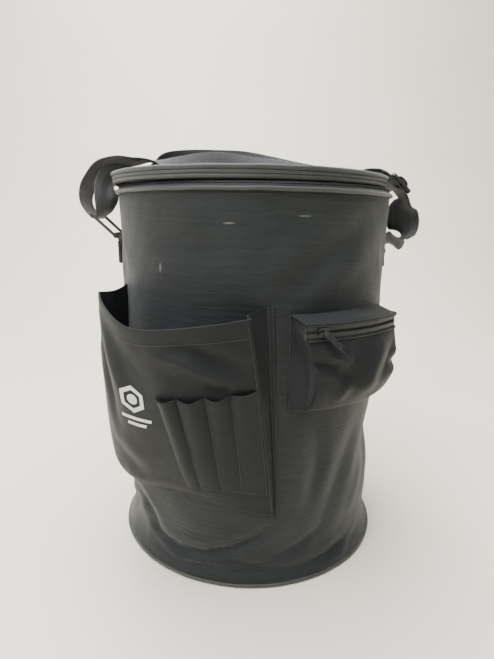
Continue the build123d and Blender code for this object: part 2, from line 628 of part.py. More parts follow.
return_part = [
    ((-174, 0, 377), -12),
    ((-171.5, 2, 390), -27),
    ((-171, 8, 401.5), -32),
    ((-169.5, 17, 411), -30),
    ((-164, 31, 416.5), -22),
    ((-154, 50, 420), -15),
    ((-140, 72, 424.5), -13),
    ((-128, 83.5, 430), -30),
    ((-112, 91, 436), -60),
    ((-88, 94, 438.5), -80),
    ((-50, 96, 439.5), -92),
    ((-15, 96, 438.8), -96),
    ((18, 94.5, 435.5), -114),
    ((45, 90, 432.6), -130),
    ((75, 80, 429.2), -145),
    ((102, 63, 423.6), -163),
    ((118, 38, 419.6), -176),
    ((127, 17, 419), -180),
    ((133.5, 4, 419), -180),
    ((140.5, 0, 419), -180),
    ((146.3, 0, 418.6), -180),
    at_glide(LEG_LENGTH + 1, leg_top - WEBBING_THICKNESS / 2),
]
STRAP_ROUTE = anchor_part + adjuster_part + lid_part + ring_part + return_part
nodes["shoulder_strap"] = ribbon(STRAP_ROUTE, WEBBING, WEBBING_THICKNESS)

for name, shape in nodes.items():
    export_step(shape, f"parts/{name}.step")
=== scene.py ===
import math

import bpy
import numpy as np
from mathutils import Matrix, Vector


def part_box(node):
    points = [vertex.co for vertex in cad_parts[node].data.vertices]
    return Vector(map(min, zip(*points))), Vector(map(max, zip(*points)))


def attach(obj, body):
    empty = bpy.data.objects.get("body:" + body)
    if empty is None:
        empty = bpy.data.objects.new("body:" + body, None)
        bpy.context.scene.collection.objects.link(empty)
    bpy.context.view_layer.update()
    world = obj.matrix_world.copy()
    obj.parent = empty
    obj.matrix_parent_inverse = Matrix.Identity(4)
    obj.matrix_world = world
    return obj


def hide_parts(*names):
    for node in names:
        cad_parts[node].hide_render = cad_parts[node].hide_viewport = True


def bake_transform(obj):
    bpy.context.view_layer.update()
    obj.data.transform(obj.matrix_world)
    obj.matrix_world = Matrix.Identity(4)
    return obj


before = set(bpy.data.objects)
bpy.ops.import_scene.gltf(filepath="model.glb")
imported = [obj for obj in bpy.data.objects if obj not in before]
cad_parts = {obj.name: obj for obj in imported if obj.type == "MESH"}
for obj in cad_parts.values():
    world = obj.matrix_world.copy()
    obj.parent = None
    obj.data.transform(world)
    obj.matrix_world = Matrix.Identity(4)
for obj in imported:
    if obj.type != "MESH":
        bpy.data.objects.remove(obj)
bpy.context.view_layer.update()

# Soft round tool bag. Lengths here are in millimetres until a mesh is made, and azimuths are in
# degrees from the front, positive towards +X.
MM = 0.001


def reach(node, axis, end):
    """One face of a node's box: end 0 is the low side and end 1 the high side."""
    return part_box(node)[end]["xyz".index(axis)] / MM


WALL_R = reach("body_shell", "x", 1)
WALL_TOP = reach("body_shell", "z", 1)
LID_SHIFT = (reach("lid_panel", "x", 0) + reach("lid_panel", "x", 1)) / 2
LID_R = (reach("lid_panel", "x", 1) - reach("lid_panel", "x", 0)) / 2
LID_TOP = reach("lid_panel", "z", 1)
PIPING_R = (reach("rim_piping", "z", 1) - reach("rim_piping", "z", 0)) / 2
RIM_PIPING_Z = reach("rim_piping", "z", 0) + PIPING_R
BASE_PIPING_Z = reach("base_piping", "z", 0) + PIPING_R
LID_PIPING_Z = reach("lid_piping", "z", 1) - PIPING_R
ARC = math.radians(WALL_R)  # length of one degree of the wall


# ---- numbers over a surface ----
def through(stops, place):
    """Smooth curve through (place, value) pairs, read at a place or an array of places."""
    at = np.array([s[0] for s in stops], float)
    value = np.array([s[1] for s in stops], float)
    slope = np.gradient(value, at)
    x = np.clip(place, at[0], at[-1])
    i = np.clip(np.searchsorted(at, x) - 1, 0, len(at) - 2)
    span = at[i + 1] - at[i]
    t = (x - at[i]) / span
    rise = value[i + 1] - value[i]
    smooth = t * t * (3 - 2 * t)
    start = t * (1 - t) ** 2
    stop = t * t * (t - 1)
    return value[i] + rise * smooth + span * (slope[i] * start + slope[i + 1] * stop)


def mix(a, b, share):
    return a + (b - a) * share


def ease(low, high, x):
    t = np.clip((x - low) / (high - low), 0, 1)
    return t * t * (3 - 2 * t)


def crease(azimuth, height, route, width, depth):
    """Dip along a route of (azimuth, height) points, fading out at the route's two ends."""
    x, y = azimuth * ARC, height
    nearest = np.full(np.shape(x), 1e9)
    place = np.zeros(np.shape(x))
    count = len(route) - 1
    for k in range(count):
        (a0, z0), (a1, z1) = route[k], route[k + 1]
        dx, dy = (a1 - a0) * ARC, z1 - z0
        t = np.clip(((x - a0 * ARC) * dx + (y - z0) * dy) / (dx * dx + dy * dy), 0, 1)
        far = np.hypot(x - a0 * ARC - t * dx, y - z0 - t * dy)
        closer = far < nearest
        nearest = np.where(closer, far, nearest)
        place = np.where(closer, (k + t) / count, place)
    taper = np.sin(np.pi * np.clip(place, 0.02, 0.98)) ** 0.7
    d = nearest / width
    return -depth * taper * (np.exp(-(d**1.7)) - 0.35 * np.exp(-((d - 1.9) ** 2)))


def ripple(azimuth, height, seed, size):
    """Low uneven swell that closes on itself round the bag."""
    turn = np.radians(azimuth)
    total = 0
    for k, (around, up) in enumerate(((2, 0.011), (3, 0.021), (5, -0.016), (7, 0.034), (11, -0.043))):
        total = total + np.sin(around * turn + up * height + seed * (k + 1.3)) / (1 + 0.45 * k)
    return size * total / 2.4


def points(azimuth, radius, height, shift=0.0):
    """Points in metres from azimuths in degrees, radii and heights."""
    a = np.radians(azimuth)
    azimuth, radius, height = np.broadcast_arrays(azimuth, radius, height)
    x = radius * np.sin(a) + shift
    return np.stack([x, -radius * np.cos(a), height], -1) * MM


# ---- meshes ----
def deselect():
    if bpy.context.mode != "OBJECT":
        bpy.ops.object.mode_set(mode="OBJECT")
    bpy.ops.object.select_all(action="DESELECT")


def choose(obj):
    deselect()
    obj.select_set(True)
    bpy.context.view_layer.objects.active = obj


def add_modifier(obj, kind, **settings):
    """Adds a modifier with its settings and applies it."""
    choose(obj)
    modifier = obj.modifiers.new(kind.title(), kind)
    for key, value in settings.items():
        setattr(modifier, key, value)
    bpy.ops.object.modifier_apply(modifier=modifier.name)


def new_object(name, corners, faces):
    mesh = bpy.data.meshes.new(name)
    mesh.from_pydata([tuple(c) for c in corners], [], faces)
    mesh.update()
    obj = bpy.data.objects.new(name, mesh)
    bpy.context.scene.collection.objects.link(obj)
    return obj


def finish_piece(obj, material, body, slot=None, replaces=(), smooth=40):
    choose(obj)
    obj.data.materials.clear()
    obj.data.materials.append(material)
    bpy.ops.object.shade_smooth_by_angle(angle=math.radians(smooth))
    if body:
        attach(obj, body)
    if replaces:
        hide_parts(*replaces)
    deselect()
    return obj


def lengths(grid, axis):
    """Distance run along one direction of a grid of points, in metres."""
    steps = np.linalg.norm(np.diff(grid, axis=axis), axis=-1)
    start = np.zeros_like(np.take(steps, [0], axis=axis))
    return np.concatenate([start, np.cumsum(steps, axis=axis)], axis=axis)


def grid_object(name, grid, closed=False):
    """Mesh of quads over rows and columns of points, with a UV map in metres."""
    rows, cols = grid.shape[:2]
    if closed:
        wide = np.concatenate([grid, grid[:, :1]], axis=1)
    else:
        wide = grid
    u, v = lengths(wide, 1), lengths(wide, 0)
    u = u - u[:, [u.shape[1] // 2]]
    faces, loops = [], []
    for i in range(rows - 1):
        for j in range(wide.shape[1] - 1):
            k = (j + 1) % cols
            faces.append((i * cols + j, i * cols + k, (i + 1) * cols + k, (i + 1) * cols + j))
            loops += [(i, j), (i, j + 1), (i + 1, j + 1), (i + 1, j)]
    obj = new_object(name, grid.reshape(-1, 3), faces)
    at = np.array(loops)
    uv = np.stack([u[at[:, 0], at[:, 1]], v[at[:, 0], at[:, 1]]], -1)
    layer = obj.data.uv_layers.new(name="UVMap")
    layer.data.foreach_set("uv", uv.astype(np.float32).ravel())
    return obj


def cloth(
    name, grid, material, body, thickness=1.2, closed=False, slot=None, replaces=(), side=-1, smooth=50
):
    """Sheet of one thickness: side -1 keeps the grid as its outside, 1 as its inside."""
    obj = grid_object(name, grid, closed)
    add_modifier(obj, "SOLIDIFY", thickness=thickness * MM, offset=side, use_even_offset=False)
    return finish_piece(obj, material, body, slot, replaces, smooth)


def spun(name, outline, left=-180.0, right=180.0, steps=240, shift=0.0):
    """Closed (radius, height) outline spun about the bag's axis between two azimuths."""
    corners = [tuple(p) for p in points(left, *np.array(outline, float).T, shift)]
    count = len(corners)
    full = right - left >= 359.9
    ring = [tuple(range(count))]
    obj = new_object(name, corners, [] if full else ring)
    if full:
        obj.data.edges.add(count)
        obj.data.edges.foreach_set("vertices", [k for i in range(count) for k in (i, (i + 1) % count)])
        obj.data.update()
    choose(obj)
    bpy.ops.object.mode_set(mode="EDIT")
    bpy.ops.mesh.select_all(action="SELECT")
    turn = math.radians(left - right)
    bpy.ops.mesh.spin(steps=steps, angle=turn, center=(shift * MM, 0, 0), axis=(0, 0, 1))
    bpy.ops.mesh.select_all(action="SELECT")
    bpy.ops.mesh.remove_doubles(threshold=0.00001)
    bpy.ops.mesh.normals_make_consistent(inside=False)
    bpy.ops.object.mode_set(mode="OBJECT")
    return obj


def round_outline(radius, height, r, sides=14, squash=1.0):
    turn = [2 * math.pi * k / sides for k in range(sides)]
    return [(radius + r * math.cos(a), height + squash * r * math.sin(a)) for a in turn]


def repeated(name, unit_corners, unit_faces, places):
    """One mesh that holds a copy of a small unit at each 4 x 4 place."""
    unit = np.c_[np.array(unit_corners, float), np.ones(len(unit_corners))]
    corners, faces = [], []
    for k, place in enumerate(places):
        corners.append((unit @ np.array(place).T)[:, :3])
        shift = k * len(unit)
        faces += [tuple(i + shift for i in face) for face in unit_faces]
    return new_object(name, np.concatenate(corners), faces)


def frame_at(origin, x_way, z_way):
    """4 x 4 place with its x along one direction and its z near another."""
    x = Vector(x_way).normalized()
    z = Vector(z_way)
    z = (z - x * z.dot(x)).normalized()
    y = z.cross(x)
    place = Matrix((x, y, z)).transposed().to_4x4()
    place.translation = Vector(origin)
    return place


STITCH_LENGTH = 2.6
STITCH_PITCH = 3.5
THREAD = 0.55


def stitch_unit():
    """Short raised stitch along x: a ridge of thread that dives into the cloth at both ends."""
    corners, faces = [], []
    for t, size in ((-0.5, 0.25), (-0.32, 1.0), (0.32, 1.0), (0.5, 0.25)):
        for a in (0, 60, 120, 180, 270):
            y = math.cos(math.radians(a)) * THREAD / 2 * size
            z = math.sin(math.radians(a)) * THREAD / 2 * size
            corners.append((t * STITCH_LENGTH * MM, y * MM, z * MM))
    for k in range(3):
        for i in range(5):
            n = (i + 1) % 5
            faces.append((5 * k + i, 5 * k + n, 5 * k + 5 + n, 5 * k + 5 + i))
    faces.append((0, 4, 3, 2, 1)[::1])
    faces.append((15, 16, 17, 18, 19))
    return corners, [face[::-1] for face in faces]


def stitches(name, lines, body, material):
    """Rows of stitches along lines, each a run of points in metres and the cloth's outward ways."""
    places = []
    for line, ways in lines:
        line, ways = np.array(line), np.array(ways)
        run = np.r_[0, np.cumsum(np.linalg.norm(np.diff(line, axis=0), axis=1))]
        for s in np.arange(STITCH_PITCH * MM / 2, run[-1], STITCH_PITCH * MM):
            here = [np.interp(s, run, line[:, k]) for k in range(3)]
            i = min(int(np.searchsorted(run, s)), len(line) - 1)
            ahead = line[i] - line[i - 1]
            place = frame_at(here, ahead, ways[i])
            place.translation += Vector(ways[i]).normalized() * THREAD * MM * 0.15
            places.append(place)
    corners, faces = stitch_unit()
    obj = repeated(name, corners, faces, places)
    return finish_piece(obj, material, body, smooth=60)


def outward(azimuth):
    return points(azimuth, 1000.0, 0.0)


# ---- materials ----
class Value:
    """A number socket that arithmetic can be written on."""

    def __init__(self, paint, socket):
        self.paint = paint
        self.socket = socket

    def work(self, operation, *others, clamp=False):
        settings = {"operation": operation, "use_clamp": clamp}
        node = self.paint.add("ShaderNodeMath", settings, dict(enumerate((self,) + others)))
        return Value(self.paint, node.outputs[0])

    def flipped(self, operation, other):
        node = self.paint.add("ShaderNodeMath", {"operation": operation}, {0: other, 1: self})
        return Value(self.paint, node.outputs[0])

    def __add__(self, other):
        return self.work("ADD", other)

    def __sub__(self, other):
        return self.work("SUBTRACT", other)

    def __mul__(self, other):
        return self.work("MULTIPLY", other)

    def __truediv__(self, other):
        return self.work("DIVIDE", other)

    def __pow__(self, other):
        return self.work("POWER", other)

    def __rsub__(self, other):
        return self.flipped("SUBTRACT", other)

    __radd__ = __add__
    __rmul__ = __mul__

    def sin(self):
        return self.work("SINE")

    def size(self):
        return self.work("ABSOLUTE")

    def clamped(self):
        return self.work("ADD", 0.0, clamp=True)


class Paint:
    """A material under construction, on its principled shader."""

    def __init__(self, name, **constants):
        self.material = bpy.data.materials.new(name)
        self.material.use_nodes = True
        self.tree = self.material.node_tree
        self.shader = self.tree.nodes["Principled BSDF"]
        for key, value in constants.items():
            self.shader.inputs[key.replace("_", " ")].default_value = value

    def add(self, kind, settings=None, inputs=None):
        node = self.tree.nodes.new(kind)
        for key, value in (settings or {}).items():
            setattr(node, key, value)
        for key, value in (inputs or {}).items():
            self.feed(node.inputs[key], value)
        return node

    def feed(self, socket, value):
        if isinstance(value, Value):
            value = value.socket
        if isinstance(value, bpy.types.NodeSocket):
            self.tree.links.new(value, socket)
        else:
            socket.default_value = value

    def uv(self):
        """The piece's own UV map, in metres, as two numbers."""
        source = self.add("ShaderNodeUVMap", {"uv_map": "UVMap"})
        split = self.add("ShaderNodeSeparateXYZ", None, {0: source.outputs[0]})
        return Value(self, split.outputs[0]), Value(self, split.outputs[1])

    def place(self):
        source = self.add("ShaderNodeTexCoord")
        split = self.add("ShaderNodeSeparateXYZ", None, {0: source.outputs["Object"]})
        return [Value(self, split.outputs[k]) for k in range(3)]

    def vector(self, x, y, z):
        return self.add("ShaderNodeCombineXYZ", None, {0: x, 1: y, 2: z}).outputs[0]

    def noise(self, vector, scale, detail=3.0, rough=0.5):
        inputs = {"Vector": vector, "Scale": scale, "Detail": detail, "Roughness": rough}
        return Value(self, self.add("ShaderNodeTexNoise", None, inputs).outputs["Fac"])

    def object_noise(self, scale, detail=3.0, rough=0.5):
        source = self.add("ShaderNodeTexCoord").outputs["Object"]
        return self.noise(source, scale, detail, rough)

    def blend(self, share, a, b, way="MIX"):
        settings = {"data_type": "RGBA", "blend_type": way, "clamp_factor": True}
        a = (*a, 1.0) if isinstance(a, tuple) else a
        b = (*b, 1.0) if isinstance(b, tuple) else b
        return self.add("ShaderNodeMix", settings, {0: share, 6: a, 7: b}).outputs[2]

    def bump(self, height, distance, strength=1.0, over=None):
        inputs = {"Strength": strength, "Distance": distance, "Height": height}
        if over is not None:
            inputs["Normal"] = over
        return self.add("ShaderNodeBump", None, inputs).outputs[0]

    def done(self, colour=None, rough=None, normal=None):
        for key, value in (("Base Color", colour), ("Roughness", rough), ("Normal", normal)):
            if value is not None:
                self.feed(self.shader.inputs[key], value)
        return self.material


def weave_height(u, v, across, up):
    """Plain weave: threads of two widths in metres, over and under in turn."""
    warp = (u * (math.pi / across)).sin()
    weft = (v * (math.pi / up)).sin()
    return warp * weft * 0.5 + (weft.size() * 0.75 + warp.size() * 0.25)


def woven(name, dark, light, across, up, rough, streak=0.0, sheen=0.25, depth=0.00022, scuffs=()):
    """Coated polyester cloth: woven ribs, uneven dye, pressed wrinkles and patchy dust."""
    p = Paint(name, Sheen_Weight=sheen, Sheen_Roughness=0.45, Specular_IOR_Level=0.2)
    u, v = p.uv()
    threads = weave_height(u, v, across, up)
    slub = p.noise(p.vector(u * 14.0, v * (0.62 / up), 0.0), 1.0, 2.0)
    cloud = p.object_noise(9.0, 4.0, 0.55)
    mottle = p.object_noise(42.0, 3.0, 0.6)
    share = cloud * 0.9 + mottle * 0.35 - 0.35 + (slub - 0.5) * streak
    tone = p.blend(share.clamped(), dark, light)
    lint = p.object_noise(900.0, 2.0, 0.7)
    dust = ((lint - 0.68) * 5.0).clamped() * ((cloud - 0.35) * 2.2).clamped()
    tone = p.blend(dust * 0.35, tone, (0.30, 0.29, 0.26))
    x, y, z = p.place()
    mark = None
    for azimuth, height, wide, tall, tilt in scuffs:
        a = math.radians(azimuth)
        side = x * math.cos(a) + y * math.sin(a)
        front = x * math.sin(a) - y * math.cos(a)
        rise = z - height * MM - side * tilt
        far = (side / (wide * MM)) ** 2.0 + (rise / (tall * MM)) ** 2.0
        spot = (1.0 - far).clamped() * (front * 40.0).clamped()
        mark = spot if mark is None else mark + spot
    if mark is not None:
        rubbed = p.noise(p.vector(u * 260.0, v * 1900.0, 0.0), 1.0, 2.0)
        tone = p.blend((mark * (rubbed + 0.1) * 0.55).clamped(), tone, (0.34, 0.33, 0.30))
    wrinkle = p.object_noise(26.0, 5.0, 0.62)
    normal = p.bump(wrinkle, 0.0022, 0.55)
    normal = p.bump(threads * 0.5 + slub * (0.6 + streak), depth, 0.8, normal)
    shine = (rough - 0.10) + cloud * 0.14 + (1.0 - threads) * 0.08
    return p.done(tone, shine, normal)


def webbing_paint(name, dark, light, pitch=0.0017, slant=0.16):
    """Ribbed strap webbing: slanted ribs across the strap and tight selvedges."""
    p = Paint(name, Sheen_Weight=0.35, Sheen_Roughness=0.5, Specular_IOR_Level=0.3)
    u, v = p.uv()
    ribs = ((v + u * slant) * (2 * math.pi / pitch)).sin() * 0.5 + 0.5
    fine = (u * (2 * math.pi / 0.0011)).sin() * 0.5 + 0.5
    cloud = p.object_noise(24.0, 4.0, 0.6)
    fuzz = p.object_noise(1500.0, 2.0, 0.6)
    tone = p.blend((ribs * 0.55 + fine * 0.15 + cloud * 0.5 - 0.2).clamped(), dark, light)
    tone = p.blend(((fuzz - 0.62) * 3.0).clamped() * 0.3, tone, (0.22, 0.22, 0.21))
    normal = p.bump(ribs * (0.75 + fine * 0.25), 0.00045, 0.9)
    normal = p.bump(fuzz, 0.00015, 0.5, normal)
    return p.done(tone, 0.52 + cloud * 0.2, normal)


def bound(name, dark, light, pitch=0.0012):
    """Wrapped piping and binding tape: fine slanted threads on a rounded edge, in uneven tone."""
    p = Paint(name, Sheen_Weight=0.3, Sheen_Roughness=0.4, Specular_IOR_Level=0.4)
    x, y, z = p.place()
    turn = y.work("ARCTAN2", x)
    threads = ((turn * 0.151 + z * 0.8) * (2 * math.pi / pitch)).sin() * 0.5 + 0.5
    cloud = p.object_noise(30.0, 4.0, 0.6)
    tone = p.blend((threads * 0.3 + cloud * 0.8 - 0.15).clamped(), dark, light)
    normal = p.bump(threads, 0.00022, 0.7)
    normal = p.bump(p.object_noise(60.0, 4.0, 0.6), 0.0010, 0.4, normal)
    return p.done(tone, 0.40 + cloud * 0.2, normal)


def moulded(name, tone, worn, rough):
    """Moulded plastic or painted metal: fine grain, faint scratches and rubbed patches."""
    p = Paint(name, Specular_IOR_Level=0.5)
    grain = p.object_noise(2600.0, 2.0, 0.6)
    smear = p.object_noise(90.0, 4.0, 0.6)
    scratch = ((p.object_noise(420.0, 6.0, 0.75) - 0.6) * 5.0).clamped()
    colour = p.blend((smear * 0.5 + scratch * 0.6 - 0.15).clamped(), tone, worn)
    normal = p.bump(grain, 0.00006, 0.6)
    normal = p.bump(smear, 0.00025, 0.3, normal)
    return p.done(colour, rough + smear * 0.18 - scratch * 0.05, normal)


def fibreboard(name, dark, light):
    """Pressed board: short pale fibres in every direction."""
    p = Paint(name, Specular_IOR_Level=0.25)
    fibre = p.object_noise(700.0, 5.0, 0.7)
    cloud = p.object_noise(18.0, 3.0)
    tone = p.blend((fibre * 0.8 + cloud * 0.4 - 0.1).clamped(), dark, light)
    return p.done(tone, 0.7 + cloud * 0.15, p.bump(fibre, 0.0002, 0.6))


def printed(name):
    """Screen print on cloth: off white ink with the weave showing through and a few rubbed spots."""
    p = Paint(name, Specular_IOR_Level=0.35)
    u, v = p.uv()
    threads = weave_height(u, v, 0.0005, 0.00045)
    rubbed = ((p.object_noise(500.0, 4.0, 0.7) - 0.56) * 5.0).clamped()
    tone = p.blend(rubbed * 0.35, (0.62, 0.63, 0.60), (0.16, 0.165, 0.16))
    return p.done(tone, 0.55 + rubbed * 0.2, p.bump(threads, 0.0001, 0.6))


CHARCOAL = (0.0098, 0.0120, 0.0126)
CHARCOAL_LIT = (0.0275, 0.0325, 0.0335)
SCUFFS = (
    (-8.6, 366.4, 6.5, 1.0, 0.05),
    (17.4, 373.4, 7.5, 0.9, 0.0),
    (-36.2, 324.0, 2.0, 5.0, 0.2),
    (-30.0, 34.0, 2.2, 1.6, 0.0),
)
wall_cloth = woven(
    "wall_cloth", CHARCOAL, CHARCOAL_LIT, 0.0009, 0.0018, 0.58, 0.8, sheen=0.18, depth=0.0005, scuffs=SCUFFS
)
pocket_cloth = woven(
    "pocket_cloth", (0.0054, 0.0068, 0.0073), (0.0130, 0.0155, 0.0163), 0.0005, 0.0005, 0.56, 0.12, sheen=0.08
)
# Gusset cloth: the pocket cloth painted lighter, as painted fill light on the shaded sides and insides of the
# pockets.
gusset_cloth_painted_light = woven(
    "gusset_cloth_painted_light", (0.0085, 0.0102, 0.0109), (0.0190, 0.0222, 0.0232), 0.0005, 0.0005, 0.56, 0.1, sheen=0.08
)
lining_cloth = woven(
    "lining_cloth", (0.010, 0.011, 0.0115), (0.022, 0.0235, 0.024), 0.0006, 0.0006, 0.58, 0.1
)
webbing = webbing_paint("webbing", (0.0095, 0.0110, 0.0118), (0.027, 0.0300, 0.0310))
dark_webbing = webbing_paint("dark_webbing", (0.0095, 0.0100, 0.0105), (0.030, 0.0315, 0.032))
piping_cloth = bound("piping_cloth", (0.020, 0.0228, 0.0230), (0.064, 0.070, 0.070))
base_binding = bound("base_binding", (0.020, 0.021, 0.0195), (0.075, 0.075, 0.066))
tape_cloth = bound("tape_cloth", (0.014, 0.0148, 0.015), (0.040, 0.042, 0.0415), 0.0009)
thread = bound("thread", (0.020, 0.021, 0.021), (0.055, 0.057, 0.056), 0.0006)
coil_nylon = moulded("coil_nylon", (0.014, 0.015, 0.016), (0.050, 0.052, 0.054), 0.46)
black_plastic = moulded("black_plastic", (0.012, 0.0125, 0.013), (0.050, 0.051, 0.052), 0.38)
slider_paint = moulded("slider_paint", (0.030, 0.031, 0.033), (0.28, 0.28, 0.285), 0.26)
slider_paint.node_tree.nodes["Principled BSDF"].inputs["Metallic"].default_value = 0.85
stiff_board = fibreboard("stiff_board", (0.045, 0.043, 0.040), (0.12, 0.115, 0.105))
hoop_plastic = moulded("hoop_plastic", (0.05, 0.05, 0.05), (0.12, 0.12, 0.12), 0.45)
print_ink = printed("print_ink")


# ---- the wall ----
WALL_FOLDS = (
    (((8, 292), (18, 312), (25, 331), (35, 353), (52, 374)), 13.0, 3.6),
    (((20, 300), (34, 322), (50, 340)), 12.0, -2.2),
    (((-52, 40), (-42, 31), (-31, 25), (-17, 29), (-5, 40), (5, 56), (12, 78)), 7.0, 4.6),
    (((-12, 31), (-3, 23), (6, 16), (17, 12), (30, 14), (46, 19), (64, 14)), 6.0, 4.2),
    (((-46, 18), (-30, 12), (-16, 16), (-6, 10)), 6.0, 2.0),
    (((-50, 32), (-40, 24), (-30, 18.5), (-17, 22), (-5, 33), (5, 47), (12, 66)), 3.2, -3.2),
    (((-34, 14), (-20, 9), (-4, 7.5), (12, 6)), 3.2, -2.2),
    (((56, 24), (42, 12), (28, 6.5), (16, 5)), 3.6, -2.8),
    (((34, 56), (22, 40), (10, 26), (-2, 19)), 4.5, 2.2),
    (((-66, 66), (-54, 60), (-46, 47), (-43, 33)), 8.0, 4.2),
    (((-78, 30), (-68, 38), (-60, 52)), 8.0, 3.6),
    (((17, 182), (20, 127), (19, 66)), 9.0, -2.6),
    (((27, 176), (29, 130), (26, 84)), 8.0, 2.2),
    (((52, 168), (43, 118), (33, 64), (28, 34)), 12.0, 2.8),
    (((66, 120), (56, 82), (48, 44)), 10.0, -1.4),
    (((88, 196), (80, 150), (70, 116), (58, 98)), 13.0, 2.6),
    (((100, 120), (88, 92), (74, 70), (66, 40)), 11.0, 2.4),
    (((64, 262), (72, 296), (70, 330), (62, 356)), 10.0, 2.4),
    (((-34, 352), (-20, 340), (-4, 344)), 14.0, 1.4),
    (((-78, 356), (-70, 330), (-64, 308)), 9.0, 2.2),
    (((-100, 210), (-92, 170), (-84, 120), (-80, 80)), 10.0, 3.0),
    (((-128, 60), (-112, 36), (-96, 28), (-84, 36)), 8.0, 3.6),
    (((118, 60), (134, 34), (152, 26), (170, 40)), 8.0, 3.8),
    (((176, 60), (196, 30), (214, 34), (226, 52)), 8.0, 3.4),
    (((124, 330), (140, 280), (150, 220), (146, 170)), 12.0, 2.8),
    (((168, 350), (186, 300), (196, 240)), 12.0, 2.4),
    (((212, 330), (226, 270), (224, 200)), 11.0, 2.8),
    (((108, 240), (122, 190), (136, 120)), 11.0, -2.4),
    (((200, 160), (188, 120), (176, 90)), 10.0, 2.6),
)
WALL_PROFILE = (
    (0, 152.6), (4, 152.7), (10, 150.6), (22, 146.6), (38, 144.9), (60, 146.6), (100, 147.4),
    (160, 148.4), (240, 149.0), (320, 149.2), (370, 149.8), (390, 150.9), (398, 151.0),
)
SIDE_PINCH = (80.0, 132.0, 30.0, 38.0, 7.5)  # azimuth, height, their spreads, and depth


def wall_radius(azimuth, height):
    """Outside of the sagging wall."""
    azimuth, height = np.broadcast_arrays(np.asarray(azimuth, float), np.asarray(height, float))
    held = ease(2, 16, height) * (1 - ease(378, 394, height))
    total = through(WALL_PROFILE, height)
    loose = ripple(azimuth, height, 0.7, 1.3) + ripple(azimuth * 3, height * 2.6, 2.9, 0.35)
    for route, width, depth in WALL_FOLDS:
        for wrap in (-360, 0, 360):
            near = [a + wrap for a, _ in route]
            if max(near) < -210 or min(near) > 210:
                continue
            loose = loose + crease(azimuth, height, [(a, z) for a, (_, z) in zip(near, route)], width, depth)
    a0, z0, wide, tall, depth = SIDE_PINCH
    loose = loose - depth * np.exp(-(((azimuth - a0) / wide) ** 2) - ((height - z0) / tall) ** 2)
    return total + loose * held


def wall_points(azimuth, height, lift=0.0):
    return points(azimuth, wall_radius(azimuth, height) + lift, height)


def make_wall():
    columns, rows = 300, 130
    azimuth = np.linspace(-180, 180, columns, endpoint=False)[None, :]
    height = np.linspace(1.2, WALL_TOP, rows)[:, None]
    grid = wall_points(azimuth, height)
    wall = cloth("wall_cloth_shell", grid, wall_cloth, "bag", 1.5, True, "woven_cloth", ["body_shell"])
    # The upright seam where the wall's cloth is joined, at the back.
    seam_rows = np.linspace(6, 392, 120)
    lines = []
    for azimuth in (-173.5, -172.2):
        line = wall_points(azimuth, seam_rows, 0.1)
        lines.append((line, np.repeat(outward(azimuth)[None, :], len(line), 0)))
    strip = np.linspace(-175.0, -171.0, 7)[None, :]
    lift = 0.9 * np.sin(np.pi * (strip + 175.4) / 4.8)
    overlap = wall_points(strip, seam_rows[:, None], lift)
    cloth("wall_seam_overlap", overlap, wall_cloth, "bag", 0.9, False, "woven_cloth")
    stitches("wall_seam_stitches", lines, "bag", thread)


def ring_stitches(name, radius, height, body, left=-180.0, right=180.0, shift=0.0, up=0.0):
    turn = np.linspace(left, right, 361)
    line = points(turn, radius, height, shift)
    ways = outward(turn) + np.array([0, 0, up])
    stitches(name, [(line, ways)], body, thread)


def soften(obj, size, scale):
    """Small uneven shifts of a cord's points, so that it lies like cloth and not like wire."""
    for corner in obj.data.vertices:
        a = math.atan2(corner.co.x, -corner.co.y)
        wave = math.sin(scale * a) * 0.5 + math.sin(scale * 1.7 * a + 1.1) * 0.3
        wave += math.sin(scale * 4.3 * a) * 0.2
        corner.co.x += math.sin(a) * wave * size * MM * 0.6
        corner.co.y -= math.cos(a) * wave * size * MM * 0.6
        corner.co.z += math.sin(scale * 2.2 * a + 0.6) * size * MM * 0.5
    return obj


def make_base():
    base_r = WALL_R - 0.5
    radii = np.array([0.5, 20, 50, 80, 105, 125, 140, 148, base_r])
    turn = np.linspace(-180, 180, 180, endpoint=False)
    grid = points(turn[None, :], radii[:, None], 0.2)
    low = cloth("base_cloth_panel", grid, wall_cloth, "bag", 1.3, True, "base_cloth", ["base_panel"])
    cord = spun("base_piping_cord", round_outline(WALL_R + 1.9, BASE_PIPING_Z, PIPING_R), steps=300)
    finish_piece(soften(cord, 0.35, 9), base_binding, "bag", "piping", ["base_piping"])
    ring_stitches("base_stitches", WALL_R + 1.2, 5.6, "bag")


# ---- rim ----
ZIP_END = 154.0


def coil_unit(size, tooth):
    """One tooth of a zip coil: a bent loop of nylon seen from outside, along z."""
    corners, faces = [], []
    r = tooth / 2
    tooth_profile = ((0.75, -1.0), (1.0, -0.2), (0.55, 0.75), (0.0, 1.0), (-0.55, 0.75), (-1.0, -0.2))
    for k, (y, z) in enumerate(tooth_profile):
        for a in (0, 90, 180, 270):
            c, s = math.cos(math.radians(a)), math.sin(math.radians(a))
            corners.append((c * r * MM, y * size * MM + s * r * MM * 0.6, z * size * MM + s * r * MM * 0.8))
    for k in range(5):
        for i in range(4):
            n = (i + 1) % 4
            faces.append((4 * k + i, 4 * k + n, 4 * k + 4 + n, 4 * k + 4 + i))
    faces += [(3, 2, 1, 0), (20, 21, 22, 23)]
    return corners, faces


